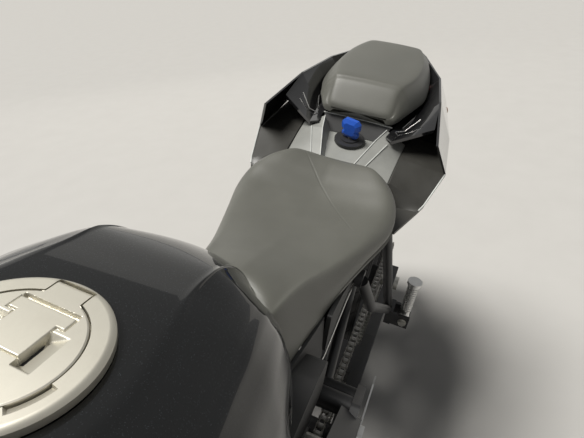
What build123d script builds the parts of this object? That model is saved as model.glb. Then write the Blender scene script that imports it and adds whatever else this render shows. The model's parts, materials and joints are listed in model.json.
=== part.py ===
"""A road motorcycle with one rider seat, a raised passenger pad and an open engine, on its side stand.

The pieces are drawn upright: X runs forward, Y to the rider's left and Z up, in millimetres, with the origin
on the ground halfway between the axles. The last section leans the whole machine onto its side stand.
"""
from build123d import *
import math
import os

# Chassis layout
WHEELBASE = 1450.0
RAKE = 25.0                 # steering axis, degrees back from vertical
TRAIL = 100.0
LEAN = 10.0                 # to the left, on the side stand
FIT = 0.1                   # clearance round a tube in its bore
SEAT_GAP = 0.3              # between soft or curved pieces and what carries them
RUN_GAP = 5.5               # between a turning piece and a fixed one

# Wheels: radius and width
FRONT_TYRE_R, FRONT_TYRE_W = 300.0, 120.0
REAR_TYRE_R, REAR_TYRE_W = 315.0, 180.0
RIM_R = 222.0               # at the bead flange
RIM_WELL = 22.0             # depth of the rim barrel below its flange
RIM_WALL = 6.0
SPOKES = 5
AXLE_R = 12.5
HUB_R = 34.0

FRONT_AXLE = Vector(WHEELBASE / 2, 0, FRONT_TYRE_R)
REAR_AXLE = Vector(-WHEELBASE / 2, 0, REAR_TYRE_R)

# Fork, measured along its own tubes from the front axle
FORK_SPREAD = 105.0         # half the distance between the legs
FORK_OUTER_R = 27.0
FORK_INNER_R = 21.5
FORK_TOP = 748.0
FORK_OUTER_LOW = 330.0
LOWER_YOKE_Z = 545.0
UPPER_YOKE_Z = 718.0
YOKE_THICK = 26.0
HEAD_TUBE_R = 29.0
STEM_R = 14.0
FORK_OFFSET = FRONT_TYRE_R * math.sin(math.radians(RAKE)) - TRAIL * math.cos(math.radians(RAKE))

HEAD_X = FRONT_AXLE.X - 293.0   # where the spars meet the head tube

# Brakes
FRONT_DISC_R, REAR_DISC_R = 155.0, 110.0
DISC_THICK = 5.0
FRONT_DISC_Y = 64.5         # middle of each front disc
REAR_DISC_Y = -74.0

# Chain drive
CHAIN_PITCH = 15.875
REAR_TEETH, GEARBOX_TEETH = 42, 16
CHAIN_Y = 107.0
CHAIN_W = 18.0
CHAIN_PLATE = 7.5           # half the height of a link's side plate
SPROCKET_THICK = 7.0
OUTPUT = Vector(-75, CHAIN_Y, 395)
SWINGARM_PIVOT = Vector(-155, 0, 390)
ARM_IN, ARM_OUT = 122.0, 148.0

# Frame and engine
PLATE_IN, PLATE_OUT = 150.5, 162.0
CRANK = Vector(130, 0, 400)
CYLINDER_TILT = 28.0
CASE_HALF = 135.0
CASE_NARROW = 92.0          # half width of the case where the chain runs beside it
BLOCK_HALF = 118.0

# Tank, seats and tail
CAP_X, CAP_Z, CAP_TILT = 230.0, 1004.0, 4.5
CAP_R, CAP_THICK = 52.0, 7.0
LID_R, LID_THICK = 36.5, 5.0
NECK_R, NECK_DEPTH = 24.0, 60.0
PEG_PIVOT = Vector(-388, 190, 520)
PEG_LENGTH, PEG_R = 96.0, 11.0

# Bars
BAR_HALF = 385.0
BAR_R = 11.0
GRIP_LENGTH = 118.0
BAR_BORE_R = 7.0

# Side stand
STAND_PIVOT = Vector(-6, 138, 246)
STAND_FOOT_PARKED = Vector(40, 292, 0)
STAND_AXIS_TILT = 31.0
STAND_R, STAND_PIN_R = 11.0, 5.0

os.makedirs("parts", exist_ok=True)
nodes = {}


# Helpers

def side_plate(points, y0, y1, radius=0.0):
    """A flat plate drawn from the side: points are (x, z), and it fills the room from y0 to y1."""
    face = Plane(origin=(0, y0, 0), x_dir=(1, 0, 0), z_dir=(0, -1, 0)) * Polygon(*points, align=None)
    if radius:
        face = fillet(face.vertices(), radius)
    return extrude(face, y1 - y0, dir=(0, 1, 0))


def rod(start, end, radius):
    """A straight round bar from one point to another."""
    start, end = Vector(*start), Vector(*end)
    return Solid.make_cylinder(radius, (end - start).length, Plane(origin=start, z_dir=end - start))


def pipe(points, radius, bends):
    """A bent round bar through the points, with the given bend radii at its corners."""
    path = FilletPolyline(*points, radius=bends)
    return sweep(Plane(origin=path @ 0, z_dir=path % 0) * Circle(radius), path=path)


def section(x, half, radii):
    """A closed outline across the machine at x. half lists (y, z) up the left side, mirrored to the right."""
    ring = [(x, y, z) for y, z in half] + [(x, -y, z) for y, z in reversed(half) if y > 0]
    face = Face(Wire.make_polygon([Vector(*p) for p in ring], close=True))
    for (y, z), radius in zip(half, radii):
        if radius:
            for side in (1, -1):
                at = Vector(x, side * y, z)
                near = min(face.vertices(), key=lambda v: (Vector(v.X, v.Y, v.Z) - at).length)
                face = face.fillet_2d(radius, [near])
    return face


def one_side(x, ring):
    """A closed polygon across the machine at x, on one side only: ring lists (y, z)."""
    return Face(Wire.make_polygon([Vector(x, y, z) for y, z in ring], close=True))


def mirrored(shape):
    return mirror(shape, about=Plane.XZ)


def both(shape):
    """The shape and its mirror image on the other side, as separate solids."""
    return Compound(children=[*shape.solids(), *mirrored(shape).solids()])


def group(*shapes):
    return Compound(children=[s for shape in shapes for s in shape.solids()])


def fused(first, *rest):
    whole = first
    for shape in rest:
        whole = whole + shape
    return whole


def axial(outline):
    """A ring about the Y axis at the origin: outline lists (radius, y)."""
    face = make_face(Polyline(*[(r, y, 0) for r, y in outline], close=True))
    return revolve(face, axis=Axis.Y, revolution_arc=360)


def disc_y(radius, y0, y1):
    """A cylinder on the Y axis."""
    return Solid.make_cylinder(radius, y1 - y0, Plane(origin=(0, y0, 0), z_dir=(0, 1, 0)))


def upright(radius, low, high):
    """A cylinder on the Z axis."""
    return Solid.make_cylinder(radius, high - low, Plane(origin=(0, 0, low), z_dir=(0, 0, 1)))


def crossbar(x, z, half, radius):
    """A round bar straight across the machine at (x, z), half as long on each side."""
    return rod((x, -half, z), (x, half, z), radius)


FORK = Location((FRONT_AXLE.X, 0, FRONT_AXLE.Z), (0, -RAKE, 0))


def on_fork(shape):
    """Places a shape drawn in the fork's own frame: Z up the legs, X forward, origin on the front axle."""
    return FORK * shape


# Wheels

def tyre(radius, width):
    """The tyre's section: a round tread between two bulging walls that come down to the rim."""
    bead_half = width * 0.40
    half = width / 2
    shoulder = max(radius - width * 0.30, RIM_R + 12) + 4
    wall = RIM_R + (shoulder - 10 - RIM_R) * 0.62
    outer = [
        Line((RIM_R, -bead_half), (wall, -half + 4)),
        ThreePointArc((wall, -half + 4), (shoulder - 10, -half), (shoulder, -half + 2)),
        ThreePointArc((shoulder, -half + 2), (radius, 0), (shoulder, half - 2)),
        ThreePointArc((shoulder, half - 2), (shoulder - 10, half), (wall, half - 4)),
        Line((wall, half - 4), (RIM_R, bead_half)),
        Line((RIM_R, bead_half), (RIM_R, -bead_half)),
    ]
    return revolve(make_face(outer), axis=Axis.Y, revolution_arc=360)


def rim(width, hub_half, sprocket_side=0.0):
    """Cast wheel: a barrel with a flange each side, forked spokes and a bored hub."""
    half = width * 0.40
    top, low = RIM_R - SEAT_GAP, RIM_R - RIM_WELL
    barrel = axial([(top, -half), (top, half), (top - 9, half), (top - 13, half - 9), (low, half * 0.55),
                    (low, -half * 0.55), (top - 13, 9 - half), (top - 9, -half)])
    spoke_top = low + RIM_WALL
    whole = barrel
    for turn in range(SPOKES):
        for splay in (-1, 1):
            arm = side_plate([(splay * 6 - 10, HUB_R - 10), (splay * 6 + 10, HUB_R - 10),
                              (splay * 34 + 8, spoke_top), (splay * 34 - 8, spoke_top)], -13, 13)
            whole = whole + Rot(0, turn * 360 / SPOKES, 0) * arm
    hub = disc_y(HUB_R, -hub_half, hub_half + sprocket_side)
    return whole + hub - disc_y(AXLE_R + 0.4, -hub_half - 5, hub_half + sprocket_side + 5)


def brake_disc(radius, y):
    """A drilled ring on a carrier that reaches the hub."""
    ring = axial([(radius - 34, y - DISC_THICK / 2), (radius, y - DISC_THICK / 2),
                  (radius, y + DISC_THICK / 2), (radius - 34, y + DISC_THICK / 2)])
    half = DISC_THICK / 2
    carrier = axial([(HUB_R - 4, y - half), (HUB_R + 14, y - half), (HUB_R + 14, y + half),
                     (HUB_R - 4, y + half)])
    whole = ring + carrier
    for turn in range(6):
        arm = side_plate([(-9, HUB_R + 5), (9, HUB_R + 5), (6, radius - 30), (-6, radius - 30)], y - 2, y + 2)
        whole = whole + Rot(0, turn * 60, 0) * arm
    holes = [Rot(0, k * 20, 0) * Pos(0, 0, radius - (12 if k % 2 else 22)) * disc_y(4, y - 5, y + 5)
             for k in range(18)]
    return whole - holes


def sprocket(teeth, y, bore, windows):
    """A chain wheel with its real tooth count, drawn as a round body with a notch for each roller."""
    pitch_r = CHAIN_PITCH / (2 * math.sin(math.pi / teeth))
    body = disc_y(pitch_r + 3.5, y - SPROCKET_THICK / 2, y + SPROCKET_THICK / 2)
    notch = disc_y(5.2, y - SPROCKET_THICK, y + SPROCKET_THICK)
    cuts = [Rot(0, k * 360 / teeth, 0) * Pos(0, 0, pitch_r) * notch for k in range(teeth)]
    cuts.append(disc_y(bore, y - SPROCKET_THICK, y + SPROCKET_THICK))
    cuts += [Rot(0, k * 360 / windows, 0) * Pos(0, 0, pitch_r * 0.73) * disc_y(13, y - 9, y + 9)
             for k in range(windows)]
    return body - cuts


nodes["front_tyre"] = Pos(*FRONT_AXLE) * tyre(FRONT_TYRE_R, FRONT_TYRE_W)
nodes["rear_tyre"] = Pos(*REAR_AXLE) * tyre(REAR_TYRE_R, REAR_TYRE_W)
nodes["front_rim"] = Pos(*FRONT_AXLE) * (rim(FRONT_TYRE_W, FRONT_DISC_Y - 2.5 - FIT))
nodes["rear_rim"] = Pos(*REAR_AXLE) * rim(REAR_TYRE_W, -REAR_DISC_Y - 2.5 - FIT, 30.0)
front_discs = both(brake_disc(FRONT_DISC_R, FRONT_DISC_Y))
nodes["front_discs"] = Pos(*FRONT_AXLE) * front_discs
nodes["rear_disc"] = Pos(*REAR_AXLE) * brake_disc(REAR_DISC_R, REAR_DISC_Y)
nodes["rear_sprocket"] = Pos(*REAR_AXLE) * (sprocket(REAR_TEETH, CHAIN_Y, AXLE_R + 6, 5))

# Front end, which turns with the bars

def fork_foot():
    """The cast foot of a left leg: it clamps the axle and carries the brake caliper on a lug behind."""
    block = side_plate([(-26, -30), (26, -30), (30, 20), (26, 78), (-26, 78), (-30, 20)], 76, 131, 8)
    lug = side_plate([(-74, 52), (-20, 30), (-20, 76), (-96, 150), (-112, 132)], 99.9, 112, 4)
    whole = block + lug
    leg_room = rod((0, FORK_SPREAD, 12), (0, FORK_SPREAD, 90), FORK_INNER_R + FIT)
    return whole - leg_room - disc_y(AXLE_R + FIT, 60, 140)


def caliper(y_disc, radius, angle):
    """A fixed caliper straddling a disc: the slot leaves room for the disc to turn."""
    body = side_plate([(-54, radius - 44), (54, radius - 44), (46, radius + 22), (-46, radius + 22)],
                      y_disc - 26, y_disc + 30, 7)
    room = DISC_THICK / 2 + RUN_GAP
    slot = side_plate([(-80, radius - 60), (80, radius - 60), (80, radius + RUN_GAP),
                       (-80, radius + RUN_GAP)], y_disc - room, y_disc + room)
    pistons = [Pos(k * 24, 0, radius - 17) * disc_y(12, y_disc + 30, y_disc + 35) for k in (-1, 1)]
    return Rot(0, angle, 0) * fused(body - slot, *pistons)


CALIPER_ANGLE = -42.0
nodes["fork_outers"] = on_fork(both(fused(
    rod((0, FORK_SPREAD, FORK_OUTER_LOW), (0, FORK_SPREAD, FORK_TOP), FORK_OUTER_R),
    rod((0, FORK_SPREAD, FORK_OUTER_LOW), (0, FORK_SPREAD, FORK_OUTER_LOW + 26), FORK_OUTER_R + 3),
    rod((0, FORK_SPREAD, FORK_TOP), (0, FORK_SPREAD, FORK_TOP + 8), FORK_OUTER_R - 6))))
fork_inner = rod((0, FORK_SPREAD, 13), (0, FORK_SPREAD, FORK_OUTER_LOW), FORK_INNER_R)
nodes["fork_inners"] = on_fork(both(fork_inner))
nodes["fork_feet"] = on_fork(both(fork_foot()))
front_collar = disc_y(AXLE_R + 5, FRONT_DISC_Y - 2.2, 75.9)
front_nut = disc_y(19, 131.1, 139)
nodes["front_axle"] = Pos(*FRONT_AXLE) * fused(disc_y(AXLE_R, -137, 137), front_collar, mirrored(front_collar),
                                               front_nut, mirrored(front_nut))
nodes["front_calipers"] = on_fork(both(caliper(FRONT_DISC_Y, FRONT_DISC_R, CALIPER_ANGLE)))

yoke_outline = [(34, -124), (34, 124), (20, 141), (-8, 141), (-32, 118), (-70, 34), (-70, -34), (-32, -118),
                (-8, -141), (20, -141)]


def yoke(z):
    plate = Pos(0, 0, z) * extrude(fillet(Polygon(*yoke_outline, align=None).vertices(), 9), YOKE_THICK)
    legs = [rod((0, side * FORK_SPREAD, z - 5), (0, side * FORK_SPREAD, z + 40), FORK_OUTER_R + FIT)
            for side in (1, -1)]
    return plate - legs


STEM = (-FORK_OFFSET, 0)
lower_yoke = yoke(LOWER_YOKE_Z) + rod((*STEM, LOWER_YOKE_Z), (*STEM, UPPER_YOKE_Z + YOKE_THICK + 6), STEM_R)
upper_yoke = yoke(UPPER_YOKE_Z) - rod((*STEM, UPPER_YOKE_Z - 5), (*STEM, UPPER_YOKE_Z + 40), STEM_R + FIT)
nodes["yokes"] = on_fork(group(lower_yoke, upper_yoke))

# The bar lies in one tilted plane: across it, and up and back along BAR_LIFT
BAR_CENTRE = Vector(-30, 0, 815)
BAR_LIFT = Vector(-0.60, 0, 0.80)
CLAMP_Y = 40.0
bar_outline = [(75, 0), (140, 44), (BAR_HALF, 54)]


def bar_point(y, lift):
    return BAR_CENTRE + Vector(0, y, 0) + BAR_LIFT * lift


bar_right = [bar_point(-y, lift) for y, lift in reversed(bar_outline)]
bar_left = [bar_point(y, lift) for y, lift in bar_outline]
bar_end = bar_left[-1]
bar_run = (bar_left[-1] - bar_left[-2]).normalized()
handlebar = fused(pipe([*bar_right, *bar_left], BAR_R, 60),
                  rod(bar_point(-62, 0), bar_point(62, 0), BAR_R + 3))
bore = rod(bar_end - bar_run * 45, bar_end + bar_run * 5, BAR_BORE_R)
nodes["handlebar"] = on_fork(handlebar - bore - mirrored(bore))
clamp = side_plate([(-58, UPPER_YOKE_Z + YOKE_THICK), (-6, UPPER_YOKE_Z + YOKE_THICK), (-12, 815), (-18, 834),
                    (-42, 834), (-48, 815)], CLAMP_Y - 14, CLAMP_Y + 14, 3)
clamp = clamp - rod(bar_point(-80, 0), bar_point(80, 0), BAR_R + 3 + FIT)
nodes["bar_clamps"] = on_fork(both(clamp))
grip = rod(bar_end - bar_run * GRIP_LENGTH, bar_end - bar_run * 0.5, BAR_R + 5.5)
grip_flange = rod(bar_end - bar_run * GRIP_LENGTH, bar_end - bar_run * (GRIP_LENGTH - 6), BAR_R + 9)
bar_room = rod(bar_end - bar_run * (GRIP_LENGTH + 12), bar_end + bar_run * 5, BAR_R + FIT)
nodes["grips"] = on_fork(both(grip + grip_flange - bar_room))
perch_at = bar_end - bar_run * (GRIP_LENGTH + 32)
perch = rod(perch_at - bar_run * 14, perch_at + bar_run * 30, BAR_R + 8)
lever_root = perch_at + Vector(30, 4, -4)
perch_arm = rod(perch_at, lever_root, 9)
lever = pipe([lever_root, lever_root + Vector(14, 60, -4), bar_end + Vector(58, -10, -12)], 5.5, 60)
reservoir = rod(perch_at + Vector(32, -22, 8), perch_at + Vector(30, -22, 40), 17)
perch_room = rod(perch_at - bar_run * 40, perch_at + bar_run * 50, BAR_R + FIT)
nodes["hand_levers"] = on_fork(both(fused(perch, perch_arm, lever, reservoir) - perch_room))

MIRROR_AT = Vector(35, 330, 950)
mirror_stem = pipe([perch_at + Vector(0, -8, BAR_R + 8.9), perch_at + Vector(0, -8, 60), MIRROR_AT], 5, 20)
mirror_outline = Polygon((-52, -26), (70, -34), (84, 6), (60, 30), (-40, 26), align=None)
mirror_head = Pos(*MIRROR_AT) * Rot(0, 0, -8) * extrude(Plane.YZ * fillet(mirror_outline.vertices(), 12), 18)
nodes["mirrors"] = on_fork(both(mirror_stem + mirror_head))


def mudguard_band(radius, half, low, start, sweep_angle):
    """A wheel's guard: a thin channel bent round the wheel, from start degrees above straight ahead."""
    face = make_face(Polyline((radius, -half, 0), (radius, half, 0), (low, half + 5, 0), (low, half + 2, 0),
                              (radius - 3, half - 3, 0), (radius - 3, 3 - half, 0), (low, -half - 2, 0),
                              (low, -half - 5, 0), close=True))
    return Rot(0, -start - sweep_angle, 0) * revolve(face, axis=Axis.Y, revolution_arc=sweep_angle)


guard = mudguard_band(FRONT_TYRE_R + 14, FRONT_TYRE_W / 2 + 8, 285, 48, 112)
guard_stay = side_plate([(-24, 236), (20, 236), (22, 300), (-30, 300)], FRONT_TYRE_W / 2 + 9.5,
                        FORK_SPREAD - FORK_INNER_R - SEAT_GAP, 4)
nodes["front_mudguard"] = on_fork(fused(guard, guard_stay, mirrored(guard_stay)))

# Headlamp, its stays and the dash, drawn in the machine's own frame
LAMP_Z = 846.0
lamp_stations = [
    # ahead of HEAD_X, half width, bottom, top, corner radius
    (104, 86, -56, 66, 16),
    (153, 95, -74, 82, 22),
    (223, 84, -66, 58, 22),
    (262, 54, -44, 22, 14),
]


def lamp_body(grown):
    """The lamp's shell as a solid, grown by a clearance where it cuts room in its neighbours."""
    return loft([section(HEAD_X + ahead, [(half * 0.55 + grown, LAMP_Z + low - grown),
                                          (half + grown, LAMP_Z + low * 0.25),
                                          (half * 0.72 + grown, LAMP_Z + top + grown)],
                         [corner, corner, corner * 0.7])
                 for ahead, half, low, top, corner in lamp_stations], ruled=True)


def by_head(*points):
    """Side-view points given ahead of the steering head and above the lamp's middle."""
    return [(HEAD_X + ahead, LAMP_Z + up) for ahead, up in points]


lens_cut = side_plate(by_head((208, -60), (288, -70), (288, 50), (223, 40)), -120, 120)
nodes["headlamp"] = lamp_body(0) - lens_cut
nodes["headlamp_lens"] = lamp_body(0) & lens_cut
lamp_stay = side_plate(by_head((30, 0), (80, 6), (120, -12), (120, 12), (76, 34), (16, 34)), 79, 84, 3)
stay_ring = on_fork(rod((0, FORK_SPREAD, 590), (0, FORK_SPREAD, 630), FORK_OUTER_R + 6)
                    - rod((0, FORK_SPREAD, 580), (0, FORK_SPREAD, 640), FORK_OUTER_R + FIT))
leg_room = on_fork(rod((0, FORK_SPREAD, 500), (0, FORK_SPREAD, 740), FORK_OUTER_R + FIT))
stay = lamp_stay + stay_ring - leg_room
nodes["headlamp_stays"] = both(stay - lamp_body(1))
dash = Pos(HEAD_X + 65, 0, 968) * Rot(0, 52, 0) * fillet(Box(110, 176, 20).edges().filter_by(Axis.Z), 12)
dash_stalk = side_plate([(34.3, 722), (34.3, 742), (62, 742), (82, 716), (70, 700), (50, 712)], -30, 30, 2)
nodes["dash"] = dash + on_fork(dash_stalk)

ENGINE_BOLTS = ((-97, 316), (-92, 462))
HANGER_X, HANGER_Z = 254.0, 590.0

# Frame: head tube, two spars that pass beside the tank's foot, pivot plates and the rear rails
spar_stations = [
    # x, inside y, outside y, bottom, top
    (HEAD_X, 6, 40, 802, 866),
    (330, 74, 104, 758, 848),
    (150, 136, 164, 690, 788),
    (-22, 140, 168, 560, 690),
]
spar = loft([one_side(x, [(y0, z0), (y1, z0 + 8), (y1, z1 - 12), (y0, z1)])
             for x, y0, y1, z0, z1 in spar_stations], ruled=True)
pivot_plate = side_plate([(30, 665), (-30, 690), (-100, 640), (-128, 560), (-122, 470), (-200, 425),
                          (-208, 350), (-165, 305), (-110, 290), (-58, 300), (-78, 440), (-62, 560),
                          (-10, 610)], PLATE_IN, PLATE_OUT, 8)
head_tube = on_fork(rod((*STEM, LOWER_YOKE_Z + YOKE_THICK + 5), (*STEM, UPPER_YOKE_Z - 5), HEAD_TUBE_R))
head_bore = on_fork(rod((*STEM, LOWER_YOKE_Z), (*STEM, UPPER_YOKE_Z + 50), STEM_R + 0.5))
SHOCK_TOP = Vector(-100, 0, 605)
BRACE_BACK = REAR_AXLE.X + REAR_TYRE_R + 22.0   # the swingarm's brace lies just ahead of the tyre
SHOCK_FOOT = Vector(BRACE_BACK + 76, 0, 418)
stand_axis = Vector(0, math.cos(math.radians(STAND_AXIS_TILT)), math.sin(math.radians(STAND_AXIS_TILT)))
stand_boss = rod(STAND_PIVOT - stand_axis * 32, STAND_PIVOT - stand_axis * 13, 16)
stand_pin = rod(STAND_PIVOT - stand_axis * 32, STAND_PIVOT + stand_axis * 16, STAND_PIN_R)
stand_arm = pipe([STAND_PIVOT - stand_axis * 22, (-40, 108, 252), (-73, PLATE_IN + 5, 340)], 9, 12)
RAIL_R = 12.0
HANGER_FACE = 100.0
HANGER_BOLTS = ((-196, 80, 744), (-352, 77, 761))
rail_path = [(-35, 80, 672), (-150, 80, 742), (-290, 80, 748), (-700, 62, 834)]
stay_path = [(-100, 104, 605), (-300, 84, 660), (-486, 78, 770)]
hanger = side_plate([(236, 745), (300, 765), (300, 690), (274, 584), (240, 576), (232, 640)],
                    BLOCK_HALF + 0.3, BLOCK_HALF + 8, 6)
hanger_bosses = [rod((x, y - 4, z), (x, HANGER_FACE, z), 9) for x, y, z in HANGER_BOLTS]
left_side = fused(spar, hanger, pivot_plate, pipe(rail_path, RAIL_R, 60), pipe(stay_path, 9, 90),
                  *hanger_bosses)
SWINGARM_BOLT_R, ENGINE_BOLT_R, SHOCK_BOLT_R = 10.0, 7.0, 6.0
SHOCK_BAR_R = 13.0          # the crossbar that carries the top of the shock
crossbars = [
    # x, z, half the length, radius
    (-38, 668, 150, 14),
    (SHOCK_TOP.X, SHOCK_TOP.Z, 155, SHOCK_BAR_R),
    (-200, 631.6, 94, 8),
    (-486, 797, 74, 9),
    (-690, 827.2, 64, 9),
]
swingarm_bore = crossbar(SWINGARM_PIVOT.X, SWINGARM_PIVOT.Z, 200, SWINGARM_BOLT_R + FIT)
frame = fused(left_side, mirrored(left_side), *[crossbar(*row) for row in crossbars],
              stand_boss, stand_arm, stand_pin, head_tube)
frame = frame - head_bore - swingarm_bore
nodes["frame"] = frame - [crossbar(x, z, 200, ENGINE_BOLT_R + FIT)
                          for x, z in (*ENGINE_BOLTS, (HANGER_X, HANGER_Z))]


def headed_bolt(x, z, bolt_r, face, head_r, thick):
    """A bolt across the machine at (x, z), with a head on each end that sits on the faces at y = face."""
    head = rod((x, face + FIT, z), (x, face + thick, z), head_r)
    return fused(crossbar(x, z, face + thick / 2, bolt_r), head, mirrored(head))


# Swingarm with its pivot bolt, rear axle and shock

arm = side_plate([(-128, 412), (-155, 418), (BRACE_BACK - 32, 398), (REAR_AXLE.X + 25, REAR_AXLE.Z + 35),
                  (REAR_AXLE.X - 47, REAR_AXLE.Z + 27), (REAR_AXLE.X - 55, REAR_AXLE.Z - 23),
                  (REAR_AXLE.X + 20, REAR_AXLE.Z - 33), (BRACE_BACK - 32, 334), (-160, 352), (-128, 362)],
                 ARM_IN, ARM_OUT, 10)
arm_brace = side_plate([(BRACE_BACK, 352), (BRACE_BACK + 88, 358), (BRACE_BACK + 88, 398), (BRACE_BACK, 392)],
                       -ARM_IN, ARM_IN, 5)
pivot_tube = crossbar(SWINGARM_PIVOT.X, SWINGARM_PIVOT.Z, ARM_IN, 21)
SHOCK_LUG_HALF = 22.0
shock_lug = side_plate([(SHOCK_FOOT.X - 18, 390), (SHOCK_FOOT.X + 16, 390), (SHOCK_FOOT.X + 12, 428),
                        (SHOCK_FOOT.X - 12, 428)], -SHOCK_LUG_HALF, SHOCK_LUG_HALF, 4)
shock_lug = shock_lug - Pos(SHOCK_FOOT.X, 0, 425) * Box(60, 31, 52)
swingarm = fused(arm, mirrored(arm), arm_brace, pivot_tube, shock_lug)
PADDOCK_AT = Vector(REAR_AXLE.X + 85, 0, REAR_AXLE.Z + 3)
paddock_boss = rod(PADDOCK_AT + Vector(0, ARM_OUT, 0), PADDOCK_AT + Vector(0, ARM_OUT + 10, 0), 12)
paddock_hole = rod(PADDOCK_AT + Vector(0, ARM_OUT - 12, 0), PADDOCK_AT + Vector(0, ARM_OUT + 12, 0), 4)
swingarm = fused(swingarm, paddock_boss, mirrored(paddock_boss)) - paddock_hole - mirrored(paddock_hole)
swingarm = swingarm - swingarm_bore - Pos(*REAR_AXLE) * disc_y(AXLE_R + FIT, -200, 200)
nodes["swingarm"] = swingarm - crossbar(SHOCK_FOOT.X, SHOCK_FOOT.Z, 30, SHOCK_BOLT_R + FIT)
nodes["swingarm_bolt"] = headed_bolt(SWINGARM_PIVOT.X, SWINGARM_PIVOT.Z, SWINGARM_BOLT_R, PLATE_OUT, 17, 8)
rear_collar_left = disc_y(AXLE_R + 5, 110.8, ARM_IN - 0.2)
nodes["rear_axle"] = Pos(*REAR_AXLE) * fused(disc_y(AXLE_R, -156, 156), rear_collar_left,
                                             disc_y(20, 148.1, 160), disc_y(20, -160, -148.1))
shock_axis = (SHOCK_TOP - SHOCK_FOOT).normalized()
shock_length = (SHOCK_TOP - SHOCK_FOOT).length
SPRING_R, SPRING_WIRE_R, SPRING_PITCH = 27.0, 4.5, 19.0
SEAT_LOW, SEAT_HIGH = 68.0, 48.0    # the spring's seats, from the shock's foot and from its top
shock_body = fused(rod(SHOCK_FOOT + shock_axis * 8, SHOCK_TOP - shock_axis * 26, 12),
                   rod(SHOCK_FOOT + shock_axis * (SEAT_LOW - 8), SHOCK_FOOT + shock_axis * SEAT_LOW, 33),
                   rod(SHOCK_TOP - shock_axis * SEAT_HIGH, SHOCK_TOP - shock_axis * (SEAT_HIGH - 22), 33),
                   rod(SHOCK_FOOT + Vector(0, -15, 0), SHOCK_FOOT + Vector(0, 15, 0), 14),
                   rod(SHOCK_TOP - shock_axis * 60, SHOCK_TOP - shock_axis * (SHOCK_BAR_R + FIT), 20))
shock_body = shock_body - crossbar(SHOCK_FOOT.X, SHOCK_FOOT.Z, 20, SHOCK_BOLT_R + FIT)
nodes["shock"] = shock_body - crossbar(SHOCK_TOP.X, SHOCK_TOP.Z, 60, SHOCK_BAR_R + FIT)
wire_room = SPRING_WIRE_R + 0.5
spring_start = SHOCK_FOOT + shock_axis * (SEAT_LOW + wire_room)
spring_length = shock_length - SEAT_HIGH - SEAT_LOW - 2 * wire_room
spring = Helix(pitch=SPRING_PITCH, height=spring_length, radius=SPRING_R)
wire_face = Plane(origin=spring @ 0, z_dir=spring % 0) * Circle(SPRING_WIRE_R)
spring_wire = sweep(wire_face, path=spring, is_frenet=True)
nodes["shock_spring"] = Plane(origin=spring_start, z_dir=shock_axis).location * spring_wire
nodes["shock_bolt"] = headed_bolt(SHOCK_FOOT.X, SHOCK_FOOT.Z, SHOCK_BOLT_R, SHOCK_LUG_HALF, 10, 6)

# Chain drive

def loop_face(extra):
    """The area inside the chain's run, grown by extra beyond the pitch line of both sprockets."""
    r_big = CHAIN_PITCH / (2 * math.sin(math.pi / REAR_TEETH)) + extra
    r_small = CHAIN_PITCH / (2 * math.sin(math.pi / GEARBOX_TEETH)) + extra
    big, small = Vector(REAR_AXLE.X, 0, REAR_AXLE.Z), Vector(OUTPUT.X, 0, OUTPUT.Z)
    span = small - big
    along = span.normalized()
    up = Vector(-along.Z, 0, along.X)
    lean = (r_big - r_small) / span.length
    high = along * lean + up * math.sqrt(1 - lean * lean)
    low = along * lean - up * math.sqrt(1 - lean * lean)
    edges = [Line(big + high * r_big, small + high * r_small),
             ThreePointArc(small + high * r_small, small + along * r_small, small + low * r_small),
             Line(small + low * r_small, big + low * r_big),
             ThreePointArc(big + low * r_big, big - along * r_big, big + high * r_big)]
    return Face(Wire(edges))


def band(y0, y1, extra_in, extra_out):
    ring = loop_face(extra_out) - loop_face(extra_in)
    return Pos(0, y0, 0) * extrude(ring, y1 - y0, dir=(0, 1, 0))


half_gap = SPROCKET_THICK / 2 + 0.6
outer_band = band(CHAIN_Y + half_gap, CHAIN_Y + CHAIN_W / 2 - 1, -CHAIN_PLATE, CHAIN_PLATE)
inner_band = band(CHAIN_Y - CHAIN_W / 2 + 1, CHAIN_Y - half_gap, -CHAIN_PLATE, CHAIN_PLATE)
skin = band(CHAIN_Y - half_gap - 1, CHAIN_Y + half_gap + 1, 4.6, CHAIN_PLATE)
nodes["chain"] = fused(outer_band, inner_band, skin)
nodes["gearbox_sprocket"] = Pos(OUTPUT.X, 0, OUTPUT.Z) * sprocket(GEARBOX_TEETH, CHAIN_Y, 13, 0)

# Engine: one closed block for the case, cylinders and head, with its covers as pieces of their own

tilt_axis = Vector(math.sin(math.radians(CYLINDER_TILT)), 0, math.cos(math.radians(CYLINDER_TILT)))
tilt_front = Vector(tilt_axis.Z, 0, -tilt_axis.X)


def leaned(along, ahead):
    """A point (x, z) beside the leaned cylinders: along their axis from the crank, and ahead of it."""
    at = CRANK + tilt_axis * along + tilt_front * ahead
    return (at.X, at.Z)


def leaned_box(a0, a1, f0, f1, half, radius=6):
    return side_plate([leaned(a0, f0), leaned(a0, f1), leaned(a1, f1), leaned(a1, f0)], -half, half, radius)


case = side_plate([(-122, 430), (-108, 470), (-40, 500), leaned(80, -84), leaned(80, 84), (262, 372),
                   (250, 300), (205, 256), (-60, 250), (-112, 280), (-122, 340)],
                  -CASE_NARROW, CASE_NARROW, 12)
case_wide = side_plate([(-8, 486), leaned(78, -80), leaned(78, 80), (255, 370), (240, 306), (196, 268),
                        (-8, 268)], -CASE_HALF, CASE_HALF, 14)
block = leaned_box(60, 196, -72, 72, BLOCK_HALF - 6)
for k in range(5):
    block = block + leaned_box(96 + k * 17, 103 + k * 17, -80, 80, BLOCK_HALF, 3)
head = leaned_box(190, 262, -76, 76, BLOCK_HALF)
sump = side_plate([(-30, 262), (170, 262), (150, 228), (-10, 228)], -70, 70, 8)
sprocket_shaft = disc_y(12.5, 60, CHAIN_Y + 6)
bolt_holes = [crossbar(x, z, 200, ENGINE_BOLT_R + FIT) for x, z in ENGINE_BOLTS]
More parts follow.
